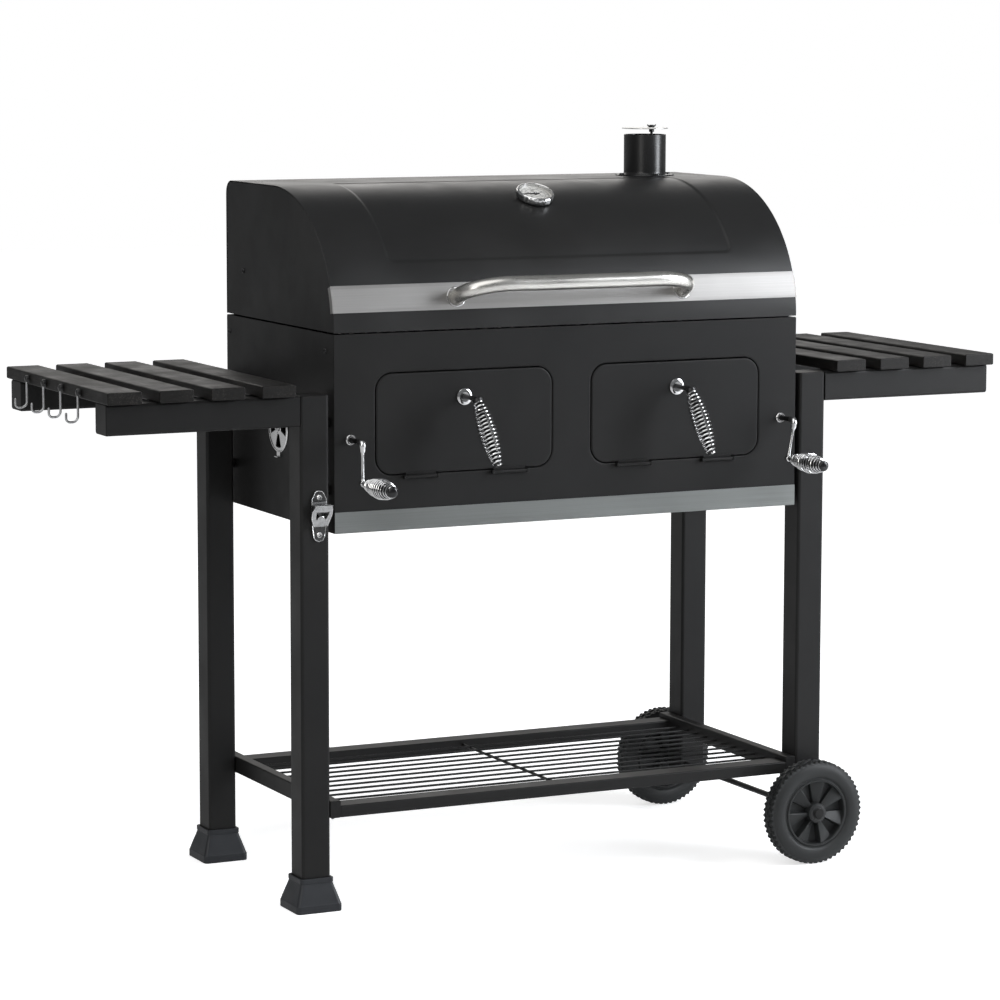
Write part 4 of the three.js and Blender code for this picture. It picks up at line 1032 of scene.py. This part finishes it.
# --- chimney and damper
fx, fy = 317.0, 110.0
px, py = fx + 29 * cos(radians(38)), fy + 29 * sin(radians(38))
g = lathe([(35.5, 1174.4), (51.4, 1174.4), (52, 1174.8), (51.6, 1175.8), (40, 1175.9), (38.2, 1176.6),
           (37.2, 1178.6), (37, 1181),
           (37, 1245.2), (36.7, 1245.8), (36.2, 1246), (35.8, 1245.8), (35.5, 1245.2), (35.5, 1174.4)], (fx, fy, 0),
           (0, 0, 1), 88)
g += lathe([(0, 1234), (6.4, 1234), (6.4, 1238), (0, 1238)],
           (fx + 27.5 * cos(radians(38)), fy + 27.5 * sin(radians(38)), 0),
           (0, 0, 1), 20)
piece("chimney_tube", g, "lid", COAT_PIPE, ["chimney_pipe"])
g = Geo(lathe([(0, 1236), (3.4, 1236), (2.4, 1238), (2.4, 1249), (4.4, 1249.4), (4.6, 1250.4), (4.6, 1253.4),
               (3.6, 1254.6), (2.5, 1255.6), (2.5, 1257.9),
               (3.9, 1258.1), (4.3, 1258.9), (4.3, 1260.9), (3.2, 1261.9), (0, 1262)], (px, py, 0), (0, 0, 1), 24))
for k in (-1, 1):
    g += tube(smooth([(px + k * 2.5, py, 1258.8), (px + k * 5.5, py, 1259.4), (px + k * 7.2, py, 1260.6),
                      (px + k * 7.8, py, 1261.6)], 4),
              [1.7 - 0.1 * (n // 2) for n in range(13)], 10, "round")
piece("damper_stud", g, "lid", KNOB, ())
g = plate([circle(fx, fy, 40.5, 96), circle(px, py, 3.4, 24)], (0, 0, 0), (1, 0, 0), (0, 1, 0), 1256.0, 1257.5, 0.4)
piece("damper_disc", g, "chimney_damper", CAP_STEEL, ["chimney_damper"])

# --- fasteners
g = Geo()
for s in (-1, 1):
    g += Geo(screw((fx + s * 45.5, fy, 1175.6), (0, 0, 1), 4.6, 3.0),
             screw((fx, fy + s * 45.5, 1175.6), (0, 0, 1), 4.6, 3.0))
    g += screw((s * 429.1, 155, 1023), (s, 0, 0), 4.4, 2.4)
piece("lid_screws", g, "lid", SCREW, ())
g = Geo()
for s in (-1, 1):
    for y, z in ((217, 916), (-195, 916), (217, 650), (-195, 650)):
        g += screw((s * 429.9, y, z), (s, 0, 0), 4.4, 2.4)
    g += Geo(screw((s * 300, 229.9, 650), (0, 1, 0), 4.4, 2.4), screw((s * 418, 229.9, 790), (0, 1, 0), 4.4, 2.4))
piece("stand_screws", g, "stand", SCREW, ())
g = Geo()
for z in (683, 622):
    g += screw((ox, oy - 1.8, z), (0, -1, 0), 5.2, 3.0)
piece("opener_screws", g, "stand", CHROME, ())
g = Geo()
for s in (-1, 1):
    for t in (-1, 1):
        g += hexnut((s * 426, t * 209.5, 152.2), (0, 0, -1), 5, 4)
piece("shelf_bolts", g, "stand", ZINC, ())

# --- CAD nodes that keep their own shape
for node, material in (("firebox_trough", COAT), ("charcoal_pan_left", ENAMEL), ("charcoal_pan_right", ENAMEL)):
    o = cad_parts[node]
    o.data.materials.clear()
    o.data.materials.append(material)
    o.modifiers.new("weld", "WELD").merge_threshold = 1e-5
    m = o.modifiers.new("ease", "BEVEL")
    m.width, m.segments, m.limit_method, m.angle_limit = 0.00035, 2, "ANGLE", radians(40)
    o.modifiers.new("flats", "WEIGHTED_NORMAL").weight = 60

# --- floor, light, camera
bm = bmesh.new()
for x, y in ((-14, -9), (14, -9), (14, 16), (-14, 16)):
    bm.verts.new((x, y, 0))
bm.faces.new(bm.verts)
me = bpy.data.meshes.new("studio_floor")
bm.to_mesh(me)
bm.free()
floor = bpy.data.objects.new("studio_floor", me)
scene.collection.objects.link(floor)
FLOOR_GLOW, FLOOR_GLOSS, AMBIENT = 0.60, 0.055, 0.20  # the glow is seen by the camera only
k = Mat("studio_floor")
pale = k.ramp(k.noise(0.7, 2), [(0.3, (0.915, 0.915, 0.92)), (0.7, (0.93, 0.93, 0.93))])
matt, sheen, glow, blend, add, path = (k.nt.nodes.new(f"ShaderNode{n}") for n in
                                       ("BsdfDiffuse", "BsdfAnisotropic", "Emission", "MixShader", "AddShader",
                                        "LightPath"))
k.nt.links.new(pale, matt.inputs["Color"])
sheen.inputs["Roughness"].default_value = 0.16
gain = k.span(path.outputs["Is Camera Ray"], 0.0, FLOOR_GLOW, 0.0, 1.0)
k.nt.links.new(gain, glow.inputs["Strength"])
blend.inputs["Fac"].default_value = FLOOR_GLOSS
k.nt.links.new(matt.outputs[0], blend.inputs[1])
k.nt.links.new(sheen.outputs[0], blend.inputs[2])
k.nt.links.new(blend.outputs[0], add.inputs[0])
k.nt.links.new(glow.outputs[0], add.inputs[1])
k.nt.links.new(add.outputs[0], k.nt.nodes["Material Output"].inputs["Surface"])
me.materials.append(k.m)

world = bpy.data.worlds.new("studio")
scene.world = world
world.use_nodes = True
nt = world.node_tree
back = nt.nodes["Background"]
back.inputs["Color"].default_value = (1, 1, 1, 1)
back.inputs["Strength"].default_value = 1.0
dim = nt.nodes.new("ShaderNodeBackground")
dim.inputs["Color"].default_value = (0.96, 0.98, 1.0, 1)
dim.inputs["Strength"].default_value = AMBIENT
mix = nt.nodes.new("ShaderNodeMixShader")
seen = nt.nodes.new("ShaderNodeLightPath")
nt.links.new(seen.outputs["Is Camera Ray"], mix.inputs["Fac"])
nt.links.new(dim.outputs["Background"], mix.inputs[1])
nt.links.new(back.outputs["Background"], mix.inputs[2])
nt.links.new(mix.outputs["Shader"], nt.nodes["World Output"].inputs["Surface"])


def aim(name, light, direction):
    ob = bpy.data.objects.new(name, light)
    ob.rotation_mode = "QUATERNION"
    ob.rotation_quaternion = Vector(direction).to_track_quat("-Z", "Y")
    scene.collection.objects.link(ob)
    return ob


def sun(name, direction, strength, angle):
    li = bpy.data.lights.new(name, "SUN")
    li.energy, li.angle = strength, radians(angle)
    aim(name, li, direction)


def softbox(name, at, look, size, power, color):
    li = bpy.data.lights.new(name, "AREA")
    li.shape, li.size, li.size_y, li.energy, li.color = "RECTANGLE", size[0], size[1], power, color
    aim(name, li, Vector(look) - Vector(at)).location = at


sun("overhead", (0.40, 0.46, -1.0), 1.10, 60)
softbox("front_left", (-3.6, -3.2, 2.3), (0, 0, 0.8), (1.6, 2.2), 34, (1.0, 0.985, 0.96))
softbox("right_high", (2.15, -1.85, 1.85), (0.3, -0.1, 1.0), (0.9, 1.6), 44, (0.92, 0.95, 1.0))
softbox("right_side", (3.1, -2.0, 1.6), (0.2, 0, 0.9), (1.0, 2.8), 74, (0.93, 0.96, 1.0))
softbox("back_top", (0.9, 4.2, 2.6), (0, 0, 1.0), (4.6, 1.6), 45, (1.0, 0.975, 0.94))

# the camera stands in front and to the left, and looks slightly down
cam = bpy.data.cameras.new("camera")
cam.sensor_width, cam.lens = 36.0, 134.812
cam.clip_start, cam.clip_end = 0.1, 100
eye = bpy.data.objects.new("camera", cam)
scene.collection.objects.link(eye)
yaw, pitch, roll = radians(26.043), radians(-7.462), radians(0.124)
fwd = Vector((sin(yaw) * cos(pitch), cos(yaw) * cos(pitch), sin(pitch)))
right = fwd.cross(Vector((0, 0, 1))).normalized()
upv = right.cross(fwd)
r2, u2 = right * cos(roll) + upv * sin(roll), upv * cos(roll) - right * sin(roll)
m = Matrix((r2, u2, -fwd)).transposed().to_4x4()
m.translation = (-2.824728 + OX, -5.740048 + OY, 1.463522)
eye.matrix_world = m
scene.camera = eye
scene.view_settings.view_transform = "Standard"

bpy.context.view_layer.update()
